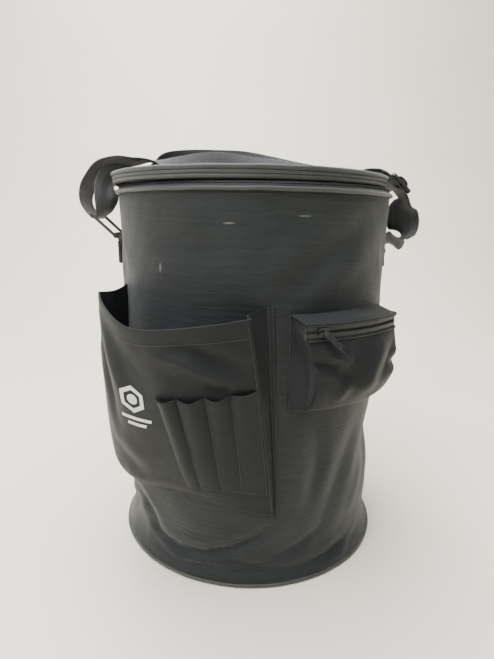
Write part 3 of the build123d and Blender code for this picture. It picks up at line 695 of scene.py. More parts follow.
def coil(name, radius, height, size, left, right, body, replaces, shift=0.0, flip=1, pitch=1.5):
    turn_step = math.degrees(pitch / radius)
    places = []
    for azimuth in np.arange(left, right, turn_step):
        a = math.radians(azimuth)
        along = Vector((math.cos(a), math.sin(a), 0))
        out = Vector((math.sin(a), -math.cos(a), 0))
        place = Matrix((along, -out * flip, Vector((0, 0, flip)))).transposed().to_4x4()
        place.translation = out * radius * MM + Vector((shift * MM, 0, height * MM))
        places.append(place)
    corners, faces = coil_unit(size, pitch * 0.62)
    obj = repeated(name, corners, faces, places)
    choose(obj)
    bpy.ops.object.mode_set(mode="EDIT")
    bpy.ops.mesh.select_all(action="SELECT")
    bpy.ops.mesh.normals_make_consistent(inside=False)
    bpy.ops.object.mode_set(mode="OBJECT")
    return finish_piece(obj, coil_nylon, body, "zip_coil", replaces, 70)


def make_rim():
    r = WALL_R
    cord = spun("rim_piping_cord", round_outline(r + 1.7, RIM_PIPING_Z, PIPING_R + 0.15), steps=300)
    finish_piece(soften(cord, 0.3, 8), piping_cloth, "bag", "piping", ["rim_piping"])
    tape = [
        (r - 1.9, 396.6), (r - 0.1, 396.6), (r + 0.5, 398.2), (r + 0.1, 399.6), (r - 0.4, 400.2),
        (r - 1.9, 400.2),
    ]
    obj = spun("rim_zip_tape_cloth", tape, -ZIP_END, ZIP_END, 280)
    finish_piece(obj, tape_cloth, "bag", "zip_tape", ["rim_zip_tape"])
    coil("rim_zip_teeth", r - 1.1, 401.2, 1.35, -ZIP_END + 0.6, ZIP_END - 0.6, "bag", ["rim_zip_coil"])
    inner = r - 6.6
    facing = np.array(
        [(r - 2.2, 398.0), (r - 4.0, 398.2), (inner, 397.4), (inner - 0.3, 394.0), (inner + 0.2, 386.0),
         (inner - 0.1, 378.0), (inner + 1.6, 374.6), (r - 3.6, 372.0)]
    )
    turn = np.linspace(-180, 180, 240, endpoint=False)
    wave = 0.35 * np.sin(np.radians(turn) * 13) * np.linspace(0, 1, len(facing))[:, None]
    grid = points(turn[None, :], facing[:, 0][:, None] + wave, facing[:, 1][:, None])
    obj = cloth("rim_facing_cloth", grid, lining_cloth, "bag", 0.6, True, "lining", ["rim_facing"], side=1)
    ring_stitches("rim_stitches", r + 0.1, 391.6, "bag")


# ---- lid ----
def make_lid():
    r = LID_R
    outline = round_outline(r + 1.7, LID_PIPING_Z, PIPING_R + 0.2)
    cord = spun("lid_piping_cord", outline, steps=300, shift=LID_SHIFT)
    finish_piece(soften(cord, 0.25, 9), piping_cloth, "lid", "piping", ["lid_piping"])
    band = [
        (r - 1.4, 412.2), (r + 0.6, 412.2), (r + 2.3, 411.4), (r + 2.6, 409.9), (r + 2.0, 408.6),
        (r + 0.6, 408.25), (r + 1.9, 407.6), (r + 2.2, 406.3), (r + 1.5, 405.0), (r + 0.2, 404.6),
        (r - 0.6, 405.1), (r - 1.0, 408.0),
    ]
    obj = spun("lid_zip_band", band, -ZIP_END, ZIP_END, 280, LID_SHIFT)
    finish_piece(soften(obj, 0.2, 7), piping_cloth, "lid", "zip_tape", ["lid_zip_tape"], 35)
    back = [(r - 1.2, 409.2), (r + 0.1, 409.2), (r + 0.5, 411.0), (r + 0.3, 414.0), (r - 1.2, 414.0)]
    obj = spun("lid_back_band", back, ZIP_END, 360 - ZIP_END, 60, LID_SHIFT)
    finish_piece(obj, tape_cloth, "lid", "zip_tape")
    reach_round = ZIP_END - 0.6
    coil(
        "lid_zip_teeth", r - 0.6, 404.9, 1.2, -reach_round, reach_round, "lid", ["lid_zip_coil"],
        LID_SHIFT, -1,
    )
    radii = np.array([0.5, 15, 30, 45, 60, 75, 90, 103, 115, 125, 133, 140, 145.5, 149.0, r + 0.9])
    turn = np.linspace(-180, 180, 240, endpoint=False)
    crown = np.array([0.9, 0.8, 0.6, 0.3, 0.0, -0.2, -0.3, -0.2, 0.1, 0.3, 0.4, 0.3, 0.1, -0.3, -1.2])
    wave = ripple(turn[None, :], radii[:, None] * 3, 5.1, 0.5) * np.sin(np.pi * radii / (r + 2))[:, None]
    height = LID_TOP + crown[:, None] + wave
    grid = points(turn[None, :], radii[:, None], height, LID_SHIFT)[::-1]
    obj = cloth("lid_cloth_panel", grid, wall_cloth, "lid", 1.1, True, "woven_cloth", ["lid_panel"], side=-1)
    across, disc = 2 * r * MM, (r * MM) ** 2
    math.pi * disc
    low = reach("lid_lining", "z", 0)
    sag = np.array([0.3, 0.3, 0.2, 0.1, 0.0, 0.1, 0.2, 0.3, 0.3, 0.2, 0.1, 0.0, 0.0, -0.1])
    radii = np.linspace(0.5, r - 1.4, 14)
    grid = points(turn[None, ::2], radii[:, None], (low + sag)[:, None], LID_SHIFT)
    obj = cloth("lid_lining_cloth", grid, lining_cloth, "lid", 0.6, True, "lining", ["lid_lining"], side=-1)
    3.1 * disc
    ring_stitches("lid_stitches", r - 3.2, LID_TOP + 0.35, "lid", shift=LID_SHIFT, up=30.0)
    # Cloth hinge at the back, between the rim and the lid.
    turn = np.linspace(ZIP_END + 3.2, 360 - ZIP_END - 3.2, 40)
    rise = np.linspace(0, 1, 14)[:, None]
    belly = 1.4 * np.sin(np.pi * rise)
    grid = points(turn[None, :], r + 0.8 + belly, mix(395.4, 411.6, rise))
    hinge = cloth("hinge_cloth", grid, tape_cloth, None, 1.0, False, "zip_tape", ["lid_hinge_tape"], side=-1)
    r * MM
    r * MM
    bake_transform(hinge)


# ---- front pocket ----
MOUTH_HEIGHT = (
    (0.0, 296.5), (0.10, 291.5), (0.20, 286.0), (0.30, 279.0), (0.38, 274.8), (0.47, 273.6), (0.6, 276.0),
    (0.8, 281.3), (1.0, 287.0),
)
MOUTH_RADIUS = (
    (0.0, 183.5), (0.12, 189.5), (0.28, 195.0), (0.45, 196.0), (0.6, 193.5), (0.8, 188.0), (1.0, 180.5),
)
MOUTH_EDGES = (-57.5, -0.9)
FOOT_EDGES = (-61.0, 9.6)
FOOT_HEIGHT = ((0.0, 76.0), (0.2, 84.0), (0.45, 93.0), (0.7, 90.5), (1.0, 78.5))
LEFT_SHAPE = ((0.0, 0.0), (0.04, 0.20), (0.14, 0.56), (0.24, 0.72), (0.39, 0.83), (0.71, 0.95), (1.0, 1.0))
MIDDLE_SHAPE = ((0.0, 0.0), (0.05, 0.17), (0.15, 0.37), (0.4, 0.60), (0.66, 0.79), (1.0, 1.0))
RIGHT_SHAPE = ((0.0, 0.06), (0.15, 0.25), (0.4, 0.46), (0.66, 0.70), (1.0, 1.0))
PANEL_FOLDS = (
    (((-23, 262), (-16, 258), (-10, 248), (-1, 238)), 7.0, 4.6),
    (((-27, 252), (-20, 246), (-10, 235), (2, 222)), 8.0, -3.0),
    (((-14, 224), (-9, 221), (-5, 223)), 5.0, 2.6),
    (((-53, 284), (-47, 250), (-43, 215), (-40, 180)), 8.0, -3.4),
    (((-58, 262), (-53, 232), (-49, 196), (-47, 160)), 6.0, 2.4),
    (((-40, 258), (-33, 228), (-31, 190)), 11.0, 1.9),
    (((-60, 118), (-50, 104), (-38, 108), (-26, 120)), 9.0, -2.6),
    (((-62, 96), (-52, 88), (-40, 92), (-28, 99), (-10, 100)), 6.0, 3.6),
    (((-56, 150), (-47, 132), (-38, 112)), 9.0, 1.8),
)


def panel(u, v, lift=0.0):
    """Azimuth, radius and height on the outside of the front pocket's panel. u runs left to right, v up."""
    u, v = np.broadcast_arrays(np.asarray(u, float), np.asarray(v, float))
    azimuth = mix(mix(*FOOT_EDGES, u), mix(*MOUTH_EDGES, u), v)
    height = mix(through(FOOT_HEIGHT, u), through(MOUTH_HEIGHT, u), v)
    foot = wall_radius(azimuth, through(FOOT_HEIGHT, u)) + 1.6
    left, middle, right = (through(shape, v) for shape in (LEFT_SHAPE, MIDDLE_SHAPE, RIGHT_SHAPE))
    shape = mix(mix(left, middle, ease(0.0, 0.5, u)), right, ease(0.55, 1.0, u))
    radius = mix(foot, through(MOUTH_RADIUS, u), shape)
    loose = ripple(azimuth * 2.2, height, 3.3, 0.9) + ripple(azimuth * 6, height * 2.2, 1.9, 0.25)
    for route, width, depth in PANEL_FOLDS:
        loose = loose + crease(azimuth, height, route, width, depth)
    held = ease(0.0, 0.06, v) * (0.25 + 0.75 * (1 - ease(0.86, 1.0, v)))
    return azimuth, radius + loose * held + lift, height


def panel_points(u, v, lift=0.0):
    return points(*panel(u, v, lift))


HEM_V = 0.915


def along_panel(u, v, lift=0.25):
    """Line on the panel, with the cloth's outward ways, for stitches."""
    line = panel_points(u, v, lift)
    azimuth = panel(u, v)[0]
    return line, outward(azimuth) + np.array([0, 0, 0.1])


def make_front_panel():
    u = np.linspace(0, 1, 130)[None, :]
    v = np.linspace(0, 0.955, 100)[:, None]
    obj = cloth(
        "front_pocket_cloth", panel_points(u, v), pocket_cloth, "bag", 1.1, False, "pocket_cloth",
        ["front_pocket_panel"],
    )
    # Hem: the panel's top edge folded inside and sewn down.
    around = [(HEM_V, 0.1), (0.93, 0.35), (0.95, 0.5), (0.975, 0.6), (0.992, 0.6), (1.0, 0.3), (1.003, -0.6)]
    around += [(1.0, -1.6), (0.99, -2.1), (0.96, -2.2), (0.93, -2.15), (HEM_V, -1.8)]
    rows = [panel_points(u[0], np.full(u.shape[1], v), lift) for v, lift in around]
    obj = cloth(
        "front_pocket_hem_cloth", np.array(rows), pocket_cloth, "bag", 0.9, False, "pocket_cloth",
        ["front_pocket_hem"],
    )
    line_u = np.linspace(0.01, 0.99, 200)
    lines = [along_panel(line_u, np.full(200, HEM_V + 0.006), 0.4)]
    side_v = np.linspace(0.03, 0.97, 200)
    lines.append(along_panel(np.full(200, 0.988), side_v, 0.3))
    lines.append(along_panel(np.full(200, 0.010), side_v, 0.3))
    lines.append(along_panel(line_u, np.full(200, 0.016), 0.3))
    stitches("front_pocket_stitches", lines, "bag", thread)


def gusset_grid(edge_u, foot_azimuth, foot_height, pleat, way):
    """Side wall of the pocket, from the panel's edge to the bag's wall, pleated between."""
    v = np.linspace(0, 1, 70)[:, None]
    w = np.linspace(0, 1, 26)[None, :]
    edge = panel_points(np.full_like(v, edge_u), v, -0.6)
    wall_height = mix(foot_height[0], foot_height[1], v)
    azimuth = mix(foot_azimuth[0], foot_azimuth[1], v)
    foot = wall_points(azimuth, wall_height, 1.0)
    grid = mix(edge, foot, w[..., None])
    depth = pleat * np.sin(np.pi * w) ** 1.3 * (0.15 + 0.85 * v)
    depth = depth + 0.16 * pleat * np.sin(2 * np.pi * w + 4 * v) * v
    a = math.radians((foot_azimuth[0] + foot_azimuth[1]) / 2)
    inward = np.array([math.cos(a), math.sin(a), 0.0]) * way * MM
    dip = -1.5 * np.sin(np.pi * w) * ease(0.8, 1.0, v) * MM
    return grid + depth[..., None] * inward + dip[..., None] * np.array([0, 0, 1.0])


def flange(name, left, right, low, high, lift, material, rows=80):
    """Sewn strip along the wall between two leaning lines of azimuth, with two rows of stitches."""
    v = np.linspace(0, 1, rows)[:, None]
    w = np.linspace(0, 1, 6)[None, :]
    azimuth = mix(mix(left[0], left[1], v), mix(right[0], right[1], v), w)
    height = mix(low, high, v)
    rise = lift * (0.55 + 0.45 * np.sin(np.pi * w))
    obj = cloth(name, wall_points(azimuth, height, rise), material, "bag", 0.9, False, "pocket_cloth")
    lines = []
    for share in (0.25, 0.75):
        azimuth = mix(mix(left[0], left[1], v), mix(right[0], right[1], v), share)[:, 0]
        line = wall_points(azimuth, height[:, 0], lift * 0.95 + 0.1)
        lines.append((line, outward(azimuth)))
    stitches(name + "_stitches", lines, "bag", thread)
    return obj


def make_front_gussets():
    right = gusset_grid(1.0, (9.9, 4.4), (79.0, 292.0), 8.0, -1)
    obj = cloth(
        "front_gusset_right_cloth", right, gusset_cloth_painted_light, "bag", 0.9, False, "pocket_cloth",
        ["front_gusset_right"],
    )
    flange("front_flange_right", (9.9, 4.3), (11.4, 7.7), 77.0, 292.5, 1.7, gusset_cloth_painted_light)
    left = gusset_grid(0.0, (-66.5, -64.5), (72.0, 300.0), 6.0, 1)[:, ::-1]
    obj = cloth(
        "front_gusset_left_cloth", left, gusset_cloth_painted_light, "bag", 0.9, False, "pocket_cloth",
        ["front_gusset_left"],
    )
    flange("front_flange_left", (-70.0, -67.8), (-66.3, -64.3), 72.0, 300.0, 1.7, gusset_cloth_painted_light)


PEN_TOP_U = (0.500, 0.605, 0.735, 0.857, 0.985)
PEN_FOOT_U = (0.568, 0.640, 0.744, 0.843, 0.970)
PEN_TOP_V = (
    (0.0, 0.640), (0.12, 0.628), (0.25, 0.642), (0.38, 0.630), (0.5, 0.652), (0.62, 0.640), (0.75, 0.664),
    (0.88, 0.668), (1.0, 0.682),
)
PEN_FOOT_V = (0.115, 0.135)


def pen_place(s, t):
    """Panel coordinates and stand-off of a point on the sleeves. s is 0 to 1 across all four."""
    count = len(PEN_TOP_U) - 1
    knots = np.linspace(0, 1, count + 1)
    top = np.interp(s, knots, PEN_TOP_U)
    foot = np.interp(s, knots, PEN_FOOT_U)
    u = mix(foot, top, t)
    v = mix(mix(*PEN_FOOT_V, s), through(PEN_TOP_V, s), t)
    swell = np.abs(np.sin(np.pi * s * count)) ** 0.75
    full = np.interp(s, [0, 0.25, 0.5, 0.75, 1.0], [6.5, 6.0, 5.5, 5.0, 3.6])
    lift = 0.9 + swell * full * (0.25 + 0.75 * t**1.4)
    return u, v, lift


def make_pen_sleeves():
    s = np.linspace(0, 1, 121)[None, :]
    t = np.linspace(0, 1, 50)[:, None]
    u, v, lift = pen_place(*np.broadcast_arrays(s, t))
    obj = cloth(
        "pen_sleeve_cloth", panel_points(u, v, lift), pocket_cloth, "bag", 0.8, False, "pocket_cloth",
        ["pen_sleeves"],
    )
    # Bound lip along the mouths.
    su = np.linspace(0, 1, 161)
    rows = []
    for k in range(9):
        a = 2 * math.pi * k / 8
        u, v, lift = pen_place(su, np.full(161, 1.0))
        rows.append(panel_points(u, v + 0.0055 * math.sin(a), lift - 0.4 + 0.95 * math.cos(a)))
    lip = grid_object("pen_sleeve_lip", np.array(rows))
    finish_piece(lip, pocket_cloth, "bag", "binding", smooth=80)
    lines = []
    for k in range(5):
        share = np.full(120, k / 4)
        u, v, lift = pen_place(share, np.linspace(0.0, 0.97, 120))
        lines.append(along_panel(u, v, lift + 0.1))
    u, v, lift = pen_place(np.linspace(0, 1, 160), np.full(160, 0.02))
    lines.append(along_panel(u, v, lift + 0.1))
    stitches("pen_sleeve_stitches", lines, "bag", thread)


def make_emblem():
    """Plain printed mark: a hexagon nut over two bars, which stand for no maker."""
    degree = math.radians(192.0)
    cu, cv = 0.345, 0.545
    wide = MOUTH_EDGES[1] - MOUTH_EDGES[0]
    tall = 205.0

    def lay(shape):
        shape = np.array(shape, float)
        return panel_points(cu + shape[..., 0] / degree / (wide + 4), cv + shape[..., 1] / tall, 0.22)

    outer, inner, hole = 15.5, 10.5, 5.6
    pieces = []
    for low, high, sides in ((inner, outer, 6), (0.0, hole, 24)):
        rows = []
        for size in np.linspace(low, high, 5):
            ring = []
            for k in range(sides):
                a, b = (math.radians(360 / sides * (k + n) + 30) for n in (0, 1))
                for part in np.linspace(0, 1, 48 // sides, endpoint=False):
                    x = mix(math.cos(a), math.cos(b), part) * size
                    y = mix(math.sin(a), math.sin(b), part) * size
                    ring.append((x, y + 11))
            rows.append(ring)
        pieces.append((lay(rows[::-1]), True))
    x = np.linspace(-19, 19, 24)[None, :]
    y = np.linspace(0, 4.2, 4)[:, None]
    for shift in (-13.0, -20.0):
        scale = 1.0 if shift > -15 else 0.62
        bar = np.stack(np.broadcast_arrays(x * scale + y * 0.3, y * 0.85 + shift), -1)
        pieces.append((lay(bar), False))
    made = []
    for k, (grid, closed) in enumerate(pieces):
        obj = grid_object(f"emblem_{k}", grid, closed)
        add_modifier(obj, "SOLIDIFY", thickness=0.12 * MM, offset=1)
        made.append(obj)
    deselect()
    for obj in made:
        obj.select_set(True)
    bpy.context.view_layer.objects.active = made[0]
    bpy.ops.object.join()
    made[0].name = "printed_emblem"
    finish_piece(made[0], print_ink, "bag", "pocket_cloth")


# ---- zipped side pocket ----
SIDE_TOP = reach("side_pocket_flap", "z", 1)
SIDE_FOOT = reach("side_pocket_front", "z", 0)
SLIT_Z = (reach("side_zip_upper_coil", "z", 1) + reach("side_zip_lower_coil", "z", 0)) / 2
ZIP_R = 176.0
ZIP_TURN = (54.0, 57.0, 15.0)  # where the zip line turns in towards the wall, and by how much
SIDE_LEFT = 14.5
SIDE_RIGHT = 57.5
SIDE_BULGE = ((0.12, 179.5), (0.3, 183.5), (0.5, 184.5), (0.7, 182.5), (0.86, 172.0), (1.0, 151.5))
SIDE_EDGE = ((0.3, 175.5), (0.5, 174.0), (0.7, 172.5), (0.86, 165.0), (1.0, 151.0))
SIDE_FOLDS = (
    (((20, 262), (24, 250), (31, 242)), 5.5, -2.8),
    (((35, 268), (31, 246), (26, 220)), 8.0, 2.6),
    (((45, 262), (39, 238), (35, 212)), 8.0, -3.0),
    (((53, 256), (48, 238), (44, 220)), 7.0, 2.8),
    (((24, 234), (28, 222), (27, 204)), 5.0, -2.6),
    (((17, 246), (21, 243), (26, 243)), 4.5, 4.2),
    (((58, 238), (54, 233), (49, 233)), 5.0, 3.4),
    (((22, 208), (34, 203), (46, 208)), 9.0, 2.2),
)


def zip_radius(azimuth):
    """Radius of the zip line, which turns in to the wall past the slider's last place."""
    start, stop, depth = ZIP_TURN
    return ZIP_R - depth * ease(start, stop + 5, np.asarray(azimuth, float)) * 1.6


def turn_in(obj):
    """Draws a spun zip strip in to the wall along the zip line."""
    for corner in obj.data.vertices:
        azimuth = math.degrees(math.atan2(corner.co.x, -corner.co.y))
        r = math.hypot(corner.co.x, corner.co.y)
        share = 1 + (float(zip_radius(azimuth)) - ZIP_R) * MM / r
        corner.co.x *= share
        corner.co.y *= share
    return obj


def side_front(u, v, lift=0.0):
    """Outside of the zipped pocket's front. u runs left to right, v down from the zip."""
    u, v = np.broadcast_arrays(np.asarray(u, float), np.asarray(v, float))
    left = through(((0, 15.6), (0.25, 17.6), (0.5, 19.4), (0.8, 19.2), (1.0, 18.0)), v)
    right = through(((0, 56.6), (0.3, 57.6), (0.6, 56.8), (0.85, 54.0), (1.0, 52.0)), v)
    azimuth = mix(left, right, u)
    top = SLIT_Z - 7.4
    fall = ((0, top), (0.2, 256), (0.45, 236), (0.7, 214), (0.86, 199), (0.95, 192), (1.0, SIDE_FOOT + 0.5))
    height = through(fall, v)
    bulge = through(((0, ZIP_R + 0.4),) + SIDE_BULGE, v)
    edge = through(((0, ZIP_R + 0.2),) + SIDE_EDGE, v)
    round_off = np.sin(np.pi * np.clip(u, 0, 1)) ** 0.55
    radius = mix(edge, bulge, round_off) + (zip_radius(azimuth) - ZIP_R) * (1 - ease(0.5, 1.0, v))
    loose = ripple(azimuth * 4, height * 2, 4.4, 0.8)
    for route, width, depth in SIDE_FOLDS:
        loose = loose + crease(azimuth, height, route, width, depth)
    held = ease(0.0, 0.12, v) * (1 - ease(0.93, 1.0, v))
    return azimuth, radius + loose * held + lift, height


def make_side_pocket():
    u = np.linspace(0, 1, 110)[None, :]
    v = np.linspace(0, 1, 90)[:, None]
    grid = points(*side_front(u, v))[::-1]
    obj = cloth(
        "side_pocket_cloth", grid, pocket_cloth, "bag", 1.0, False, "pocket_cloth", ["side_pocket_front"]
    )
    # Flap from the wall out to the zip.
    rise = np.linspace(0, 1, 16)[:, None]
    left = mix(13.2, 15.4, rise)
    right = mix(61.0, 56.8, rise)
    azimuth = mix(left, right, u)
    wall_line = wall_radius(azimuth, SIDE_TOP) + 1.4
    slack = np.sin(np.pi * rise)
    radius = mix(wall_line, zip_radius(azimuth) + 1.0, rise**0.9)
    radius = radius + 1.2 * slack * (1 + 0.4 * np.sin(azimuth * 0.4))
    height = mix(SIDE_TOP + 1.2, SLIT_Z + 6.6, rise**1.5) + 0.6 * np.sin(azimuth * 0.23) * slack
    obj = cloth(
        "side_flap_cloth", points(azimuth, radius, height)[::-1], gusset_cloth_painted_light, "bag", 1.0, False,
        "pocket_cloth", ["side_pocket_flap"],
    )
    upper_lip = ((-0.6, 7.4), (1.7, 7.6), (2.0, 6.4), (1.6, 4.9), (0.6, 4.6), (-0.6, 4.8))
    lip = [(ZIP_R + out, SLIT_Z + up) for out, up in upper_lip]
    obj = spun("side_flap_lip", lip, SIDE_LEFT + 0.4, SIDE_RIGHT - 0.2, 90)
    finish_piece(turn_in(soften(obj, 0.3, 30)), pocket_cloth, "bag", "binding")
    lower_lip = ((-0.6, -8.2), (1.4, -8.4), (1.8, -7.0), (1.3, -5.6), (0.4, -5.3), (-0.6, -5.4))
    lip = [(ZIP_R + out, SLIT_Z + up) for out, up in lower_lip]
    obj = spun("side_front_lip", lip, SIDE_LEFT + 0.8, SIDE_RIGHT - 0.4, 90)
    finish_piece(turn_in(soften(obj, 0.3, 26)), pocket_cloth, "bag", "binding")
    for name, low, high, node in (
        ("side_upper_tape", SLIT_Z + 0.9, SLIT_Z + 6.6, "side_zip_upper_tape"),
        ("side_lower_tape", SLIT_Z - 7.2, SLIT_Z - 0.9, "side_zip_lower_tape"),
    ):
        outline = [
            (ZIP_R - 1.0, low), (ZIP_R - 0.3, low), (ZIP_R + 0.1, (low + high) / 2), (ZIP_R - 0.2, high),
            (ZIP_R - 1.0, high),
        ]
        obj = spun(name + "_cloth", outline, SIDE_LEFT + 0.6, SIDE_RIGHT + 0.8, 90)
        finish_piece(turn_in(obj), tape_cloth, "bag", "zip_tape", [node])
    for name, flip in (("upper", 1), ("lower", -1)):
        teeth = coil(
            f"side_zip_{name}_teeth", ZIP_R - 0.2, SLIT_Z + 0.95 * flip, 0.62, SIDE_LEFT + 1.8,
            SIDE_RIGHT - 1.2, "bag", [f"side_zip_{name}_coil"], 0.0, flip, 1.1,
        )
        turn_in(teeth)
    stub = []
    stub_height = np.linspace(SLIT_Z - 3.6, SLIT_Z + 3.6, 6)
    for w in np.linspace(0, 1, 8):
        stub_radius = float(zip_radius(SIDE_RIGHT)) + 0.9 - 2.4 * w * w
        stub.append(points(SIDE_RIGHT - 1.2 + 2.6 * w, stub_radius, stub_height))
    cloth("side_zip_stub", np.array(stub).transpose(1, 0, 2), tape_cloth, "bag", 0.9, False, "zip_tape")
    # Pleated ends.
    rows = np.linspace(0, 1, 70)[:, None]
    w = np.linspace(0, 1, 22)[None, :]
    for name, edge_u, foot_azimuth, way, node, area in (
        ("left", 0.0, (14.2, 13.4), 1, "side_gusset_left", 0.0034),
        ("right", 1.0, (60.4, 57.0), -1, "side_gusset_right", 0.0023),
    ):
        edge = points(*side_front(np.full_like(rows, edge_u), rows))
        top_turn = np.full((1, 1), (SIDE_LEFT + 0.9, SIDE_RIGHT - 0.7)[edge_u > 0.5])
        top_edge = points(top_turn, zip_radius(top_turn) + 0.6, SLIT_Z + 6.8)
        edge = np.concatenate([top_edge, edge], 0)
        count = len(edge)
        down = np.linspace(0, 1, count)[:, None]
        foot = wall_points(mix(*foot_azimuth, down), mix(SIDE_TOP - 0.5, SIDE_FOOT + 0.5, down), 0.8)
        grid = mix(edge, foot, w[..., None])
        depth = 5.5 * np.sin(np.pi * w) ** 1.4 * np.sin(np.pi * np.clip(down, 0.04, 0.97))
        depth = depth + 1.2 * np.sin(2 * np.pi * w + 6 * down) * np.sin(np.pi * down)
        a = math.radians(foot_azimuth[0])
        inward = np.array([math.cos(a), math.sin(a), 0.0]) * way * MM
        grid = grid + depth[..., None] * inward
        if edge_u < 0.5:
            grid = grid[:, ::-1]
        obj = cloth(
            f"side_gusset_{name}_cloth", grid[::-1], gusset_cloth_painted_light, "bag", 0.8, False, "pocket_cloth", [node]
        )
    flange("side_flange_left", (13.6, 12.6), (15.0, 14.6), SIDE_FOOT + 1, SIDE_TOP, 1.5, gusset_cloth_painted_light, 50)
    flange("side_flange_right", (58.0, 60.0), (60.6, 62.6), SIDE_FOOT + 1, SIDE_TOP, 1.5, gusset_cloth_painted_light, 50)
    lines = []
    turn = np.linspace(13.8, 60.4, 200)
    flap_seam = points(turn, wall_radius(turn, SIDE_TOP) + 2.4, SIDE_TOP + 1.6)
    lines.append((flap_seam, outward(turn) + np.array([0, 0, 1.0])))
    turn = np.linspace(SIDE_LEFT + 1, SIDE_RIGHT - 1, 200)
    lines.append((points(turn, zip_radius(turn) + 2.1, SLIT_Z + 6.0), outward(turn)))
    lines.append((points(turn, zip_radius(turn) + 1.9, SLIT_Z - 7.0), outward(turn)))
    stitches("side_pocket_stitches", lines, "bag", thread)


# ---- strap ----
WEBBING = 38.0
WEBBING_THICKNESS = 1.8


def glide_point(along, out):
    """Point in the adjuster's own frame, along the strap and out of its face."""
    low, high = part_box("strap_adjuster")
    centre = (low + high) / 2 / MM
    slant = math.sqrt(0.5)
    return (centre.x - slant * along + slant * out, centre.y, centre.z + slant * along + slant * out)


def smooth_route(stations, step=3.0):
    """Even points and leans on a smooth curve through stations of (centre, lean)."""
    centre = np.array([s[0] for s in stations], float)
    lean = np.array([s[1] for s in stations], float)
    run = np.r_[0, np.cumsum(np.linalg.norm(np.diff(centre, axis=0), axis=1))]
    where = np.linspace(0, run[-1], int(run[-1] / step) + 1)
    curve = [through(list(zip(run, centre[:, k])), where) for k in range(3)]
    return np.stack(curve, -1), through(list(zip(run, lean)), where)


def strap_rings(stations, width, thickness, step=3.0):
    """Sections of flat webbing with rounded selvedges along a smooth route."""
    centre, lean = smooth_route(stations, step)
    forward = np.array([0.0, -1.0, 0.0])
    tangent = np.gradient(centre, axis=0)
    tangent /= np.linalg.norm(tangent, axis=1)[:, None]
    level = forward - tangent * (tangent @ forward)[:, None]
    level /= np.linalg.norm(level, axis=1)[:, None]
    a = np.radians(lean)[:, None]
    across = level * np.cos(a) + np.cross(tangent, level) * np.sin(a)
    rise = np.cross(tangent, across)
    half, t = width / 2, thickness / 2
    section = [(half - 0.2, 0.0), (half - 0.5, t * 0.8), (half - 1.4, t * 1.05), (half * 0.5, t), (0, t)]
    section += [(-half * 0.5, t), (-half + 1.4, t * 1.05), (-half + 0.5, t * 0.8), (-half + 0.2, 0.0)]
    section += [(x, -y) for x, y in section[-2:0:-1]]
    rings = np.stack([centre + across * x + rise * y for x, y in section], 1)
    return rings * MM


def strap_piece(name, stations, material, body, width=WEBBING, thickness=WEBBING_THICKNESS, step=3.0, **more):
    rings = strap_rings(stations, width, thickness, step)
    rows, cols = rings.shape[:2]
    obj = grid_object(name, rings, True)
    last = (rows - 1) * cols
    mesh = obj.data
    # End caps: the cut and sealed ends of the webbing.
    choose(obj)
    bpy.ops.object.mode_set(mode="EDIT")
    bpy.ops.mesh.select_all(action="DESELECT")
    bpy.ops.mesh.select_mode(type="VERT")
    bpy.ops.object.mode_set(mode="OBJECT")
    for ends in (range(cols), range(last, last + cols)):
        for corner in mesh.vertices:
            corner.select = False
        for k in ends:
            mesh.vertices[k].select = True
        bpy.ops.object.mode_set(mode="EDIT")
        bpy.ops.mesh.edge_face_add()
        bpy.ops.mesh.select_all(action="DESELECT")
        bpy.ops.object.mode_set(mode="OBJECT")
    bpy.ops.object.mode_set(mode="EDIT")
    bpy.ops.mesh.select_all(action="SELECT")
    bpy.ops.mesh.normals_make_consistent(inside=False)
    bpy.ops.object.mode_set(mode="OBJECT")
    return finish_piece(obj, material, body, smooth=60, **more)


RUN_LOW = -2.9
RUN_HIGH = 5.1
ANCHOR = [
    ((152.9, 15, 318), 6), ((152.9, 15, 334), 6), ((156.5, 14.5, 341.5), 2), ((162.5, 12, 346), -24),
    ((169, 8, 348), -48), ((174.5, 5, 351.5), -24), ((176.5, 3.5, 357), 25), ((175.5, 3, 366.5), 58),
    ((173.5, 2.5, 378), 56), ((172.5, 1.5, 388), 28),
]
OVER_LID = [
    ((146.5, 0, 423.2), 0), ((140, 4, 425), 0), ((132, 16, 424.8), -1), ((122, 33, 424.2), -3),
    ((112, 46, 424.8), -8), ((95, 59, 426.6), -19), ((70, 72, 429.6), -35), ((43, 79, 431.8), -45),
    ((15, 80, 433), -50), ((-14, 79, 434.6), -60), ((-44, 76, 436), -70), ((-68, 71, 435.2), -62),
    ((-90, 62, 433.5), -44), ((-110, 53, 434.5), -20), ((-128, 45, 436.5), -2), ((-148, 36, 434.5), 8),
    ((-166, 24.5, 431.5), 14), ((-179, 16, 424.5), 15), ((-187.5, 9, 413), 12), ((-193.5, 3, 399), 7),
    ((-194, 1, 387), 3),
]
RETURN = [
    ((-174, 0, 377), -12), ((-171.5, 2, 390), -27), ((-171, 8, 401.5), -32), ((-169.5, 17, 411), -30),
    ((-164, 31, 416.5), -22), ((-154, 50, 420), -15), ((-140, 72, 424.5), -13), ((-128, 83.5, 430), -30),
    ((-112, 91, 436), -60), ((-88, 94, 438.5), -80), ((-50, 96, 439.5), -92), ((-15, 96, 438.8), -96),
    ((18, 94.5, 435.5), -114), ((45, 90, 432.6), -130), ((75, 80, 429.2), -145), ((102, 63, 423.6), -163),
    ((118, 38, 419.6), -176), ((127, 17, 419), -180), ((133.5, 4, 419), -180), ((140.5, 0, 419), -180),
    ((146.3, 0, 418.6), -180),
]


def ring_wrap():
    """Stations round the ring's far bar."""
    low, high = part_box("strap_ring")
    bar = 1.75
    x, z = low.x / MM + bar, high.z / MM - bar
    r = bar + 0.6 + WEBBING_THICKNESS / 2
    made = []
    for turn in (212, 242, 272, 302, 332):
        a = math.radians(turn)
        made.append(((x + r * math.cos(a), 0, z + r * math.sin(a)), 0))
    return made


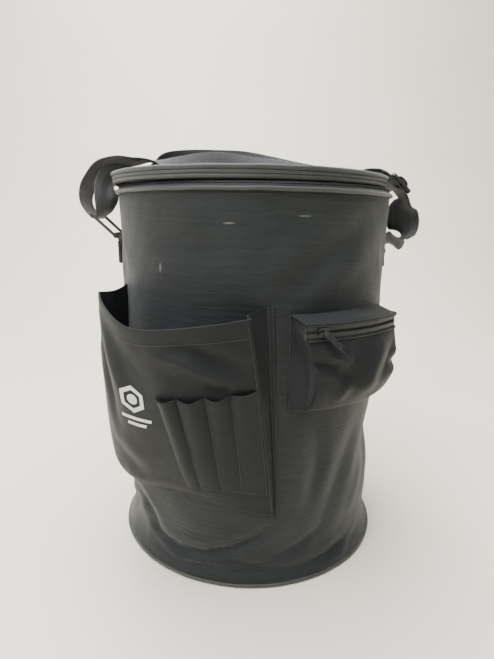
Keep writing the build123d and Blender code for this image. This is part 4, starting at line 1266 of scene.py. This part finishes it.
def make_strap():
    run_under = ((-18, -4.4), (-13, -3.2), (-6, RUN_LOW), (4, RUN_LOW), (13, RUN_LOW))
    under = [(glide_point(y, z), 0) for y, z in run_under]
    ending = [(glide_point(y, z), -180) for y, z in ((12, -5.0), (8, -5.0), (3.5, -5.0))]
    route = ANCHOR + under + OVER_LID + ring_wrap() + RETURN + ending
    strap = strap_piece(
        "shoulder_strap_webbing", route, webbing, None, slot="webbing", replaces=["shoulder_strap"]
    )
    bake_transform(strap)
    over_bar = [(-12, RUN_LOW + 0.3), (-9, RUN_LOW + 1.2), (-5.8, 4.0), (-3.6, RUN_HIGH), (0, RUN_HIGH + 0.2)]
    over_bar += [(-y, z) for y, z in over_bar[-2::-1]]
    hump = [(glide_point(y, z), 0) for y, z in over_bar]
    strap_piece("webbing_over_adjuster", hump, webbing, "adjuster", WEBBING - 0.4, 1.7, 1.2, slot="webbing")
    round_bar = ((11, -5.0), (6, -5.0), (3.4, -4.0), (3.2, 0.0), (2.4, 2.6), (0, 2.9), (-2.4, 2.6))
    round_bar += ((-3.2, 0.0), (-3.4, -5.6), (0.0, -7.2), (6, -7.1), (11, -7.1))
    loop = [(glide_point(y, z), 0) for y, z in round_bar]
    strap_piece(
        "strap_end_loop_webbing", loop, dark_webbing, "adjuster", WEBBING - 0.8, 1.6, 1.2, slot="webbing",
        replaces=["strap_end_loop"],
    )


def box_stitch(centre_azimuth, low, high, half_width, lift):
    """Box with a cross in it, sewn on the wall."""
    degree = math.radians(WALL_R + lift)
    a = half_width / degree
    corners = [(-a, low), (a, low), (a, high), (-a, high), (-a, low), (a, high), None, (a, low), (-a, high)]
    lines = []
    for start, stop in zip(corners, corners[1:]):
        if start is None or stop is None:
            continue
        t = np.linspace(0, 1, 14)
        azimuth = centre_azimuth + mix(start[0], stop[0], t)
        lines.append((points(azimuth, WALL_R + lift, mix(start[1], stop[1], t)), outward(azimuth)))
    return lines


def make_ring_tab():
    """Short loop of webbing that holds the ring on the left side."""
    low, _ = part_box("ring_tab")
    pivot_x, pivot_z = -156.5, 349.5  # the ring's pivot
    r = 1.75 + 0.2 + 0.8
    outer = -WALL_R - 1.1
    route = [((outer - 0.2, 0, low.z / MM), 0), ((outer, 0, low.z / MM + 12), 0), ((outer - 0.4, 0, 340), 0)]
    for turn in (10, -30, -75, -120, -165, -210, -255):
        a = math.radians(turn)
        route.append(((pivot_x + r * math.cos(a), 0, pivot_z + r * math.sin(a)), 0))
    wrap = [((outer - 0.6, 0, 341.5), 0), ((outer - 1.6, 0, 345.6), 0)]
    for turn in (-45, -100, -150, -200, -250, -300):
        a = math.radians(turn)
        wrap.append(((pivot_x + r * math.cos(a), 0, pivot_z + r * math.sin(a)), 0))
    strap_piece(
        "ring_tab_webbing", route[:3] + wrap[1:], dark_webbing, "bag", 36.0, 1.5, 1.6, slot="webbing",
        replaces=["ring_tab"],
    )
    back = [((outer - 1.6, 0, low.z / MM + 1), 0), ((outer - 1.7, 0, 332), 0), ((outer - 2.2, 0, 343), 0)]
    strap_piece("ring_tab_outer_webbing", back, dark_webbing, "bag", 35.4, 1.4, 2.0, slot="webbing")
    lines = box_stitch(-90, low.z / MM + 3, low.z / MM + 21, 15.0, 3.6)
    lines += box_stitch(95.7, 320.5, 335, 16.0, 2.9)
    stitches("strap_anchor_stitches", lines, "bag", thread)


# ---- CAD pieces that keep their shape ----
KEPT = {
    "base_board": stiff_board,
    "lid_board": stiff_board,
    "rim_hoop": hoop_plastic,
    "zip_end_stops": slider_paint,
    "main_zip_slider": slider_paint,
    "main_zip_pull": slider_paint,
    "side_zip_slider": slider_paint,
    "side_zip_pull": slider_paint,
    "strap_ring": black_plastic,
    "strap_adjuster": black_plastic,
}


def paint_kept():
    for name, material in KEPT.items():
        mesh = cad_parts[name].data
        if not mesh.materials:
            mesh.materials.append(material)
        for k in range(len(mesh.materials)):
            mesh.materials[k] = material


# ---- stage ----
def make_stage():
    run = [(-4.0, 0.0), (-2.0, 0.0), (0.0, 0.0), (0.9, 0.0)]
    bend = [math.radians(t) for t in range(5, 91, 5)]
    run += [(0.9 + 1.4 * math.sin(t), 1.4 - 1.4 * math.cos(t)) for t in bend]
    run += [(2.3, 2.4), (2.3, 4.0)]
    grid = np.array([[(x, y, z) for x in np.linspace(-4.5, 4.5, 10)] for y, z in run])
    floor = grid_object("backdrop", grid)
    p = Paint("backdrop_paint", Roughness=0.8, Specular_IOR_Level=0.15)
    cloud = p.object_noise(2.4, 4.0, 0.6)
    p.done(p.blend(cloud, (0.80, 0.755, 0.64), (0.90, 0.855, 0.74)))
    floor.data.materials.append(p.material)
    choose(floor)
    bpy.ops.object.shade_smooth()
    deselect()

    camera = bpy.data.cameras.new("camera")
    camera.lens = 26.96
    camera.sensor_width = 36.0
    holder = bpy.data.objects.new("camera", camera)
    bpy.context.scene.collection.objects.link(holder)
    stand = Matrix.Translation((-0.0052, -0.5895, 0.3703))
    tip = Matrix.Rotation(math.radians(90 - 12.645), 4, "X")
    roll = Matrix.Rotation(math.radians(0.925), 4, "Z")
    holder.matrix_world = stand @ tip @ roll
    bpy.context.scene.camera = holder

    world = bpy.data.worlds.new("studio")
    bpy.context.scene.world = world
    world.use_nodes = True
    sky = world.node_tree.nodes["Background"]
    sky.inputs[0].default_value = (0.79, 0.79, 0.785, 1.0)
    sky.inputs[1].default_value = 0.36
    for name, place, aim, size, power in (
        ("overhead", (-0.2, -0.35, 1.9), (0, -0.05, 0.25), 1.5, 62.0),
        ("left_fill", (-1.6, -0.9, 0.9), (0, 0, 0.1), 1.1, 10.0),
        ("backdrop_light", (-0.5, 0.9, 2.4), (-0.2, 2.2, 0.7), 1.6, 105.0),
        ("floor_light", (-0.6, -1.2, 1.4), (-0.15, -0.55, 0.0), 0.8, 20.0),
    ):
        light = bpy.data.lights.new(name, "AREA")
        light.energy = power
        light.size = size
        lamp = bpy.data.objects.new(name, light)
        bpy.context.scene.collection.objects.link(lamp)
        way = Vector(aim) - Vector(place)
        lamp.matrix_world = Matrix.Translation(place) @ way.to_track_quat("-Z", "Y").to_matrix().to_4x4()


deselect()
make_stage()
make_wall()
make_base()
make_rim()
make_lid()
make_front_panel()
make_front_gussets()
make_pen_sleeves()
make_emblem()
make_side_pocket()
make_strap()
make_ring_tab()
paint_kept()
deselect()
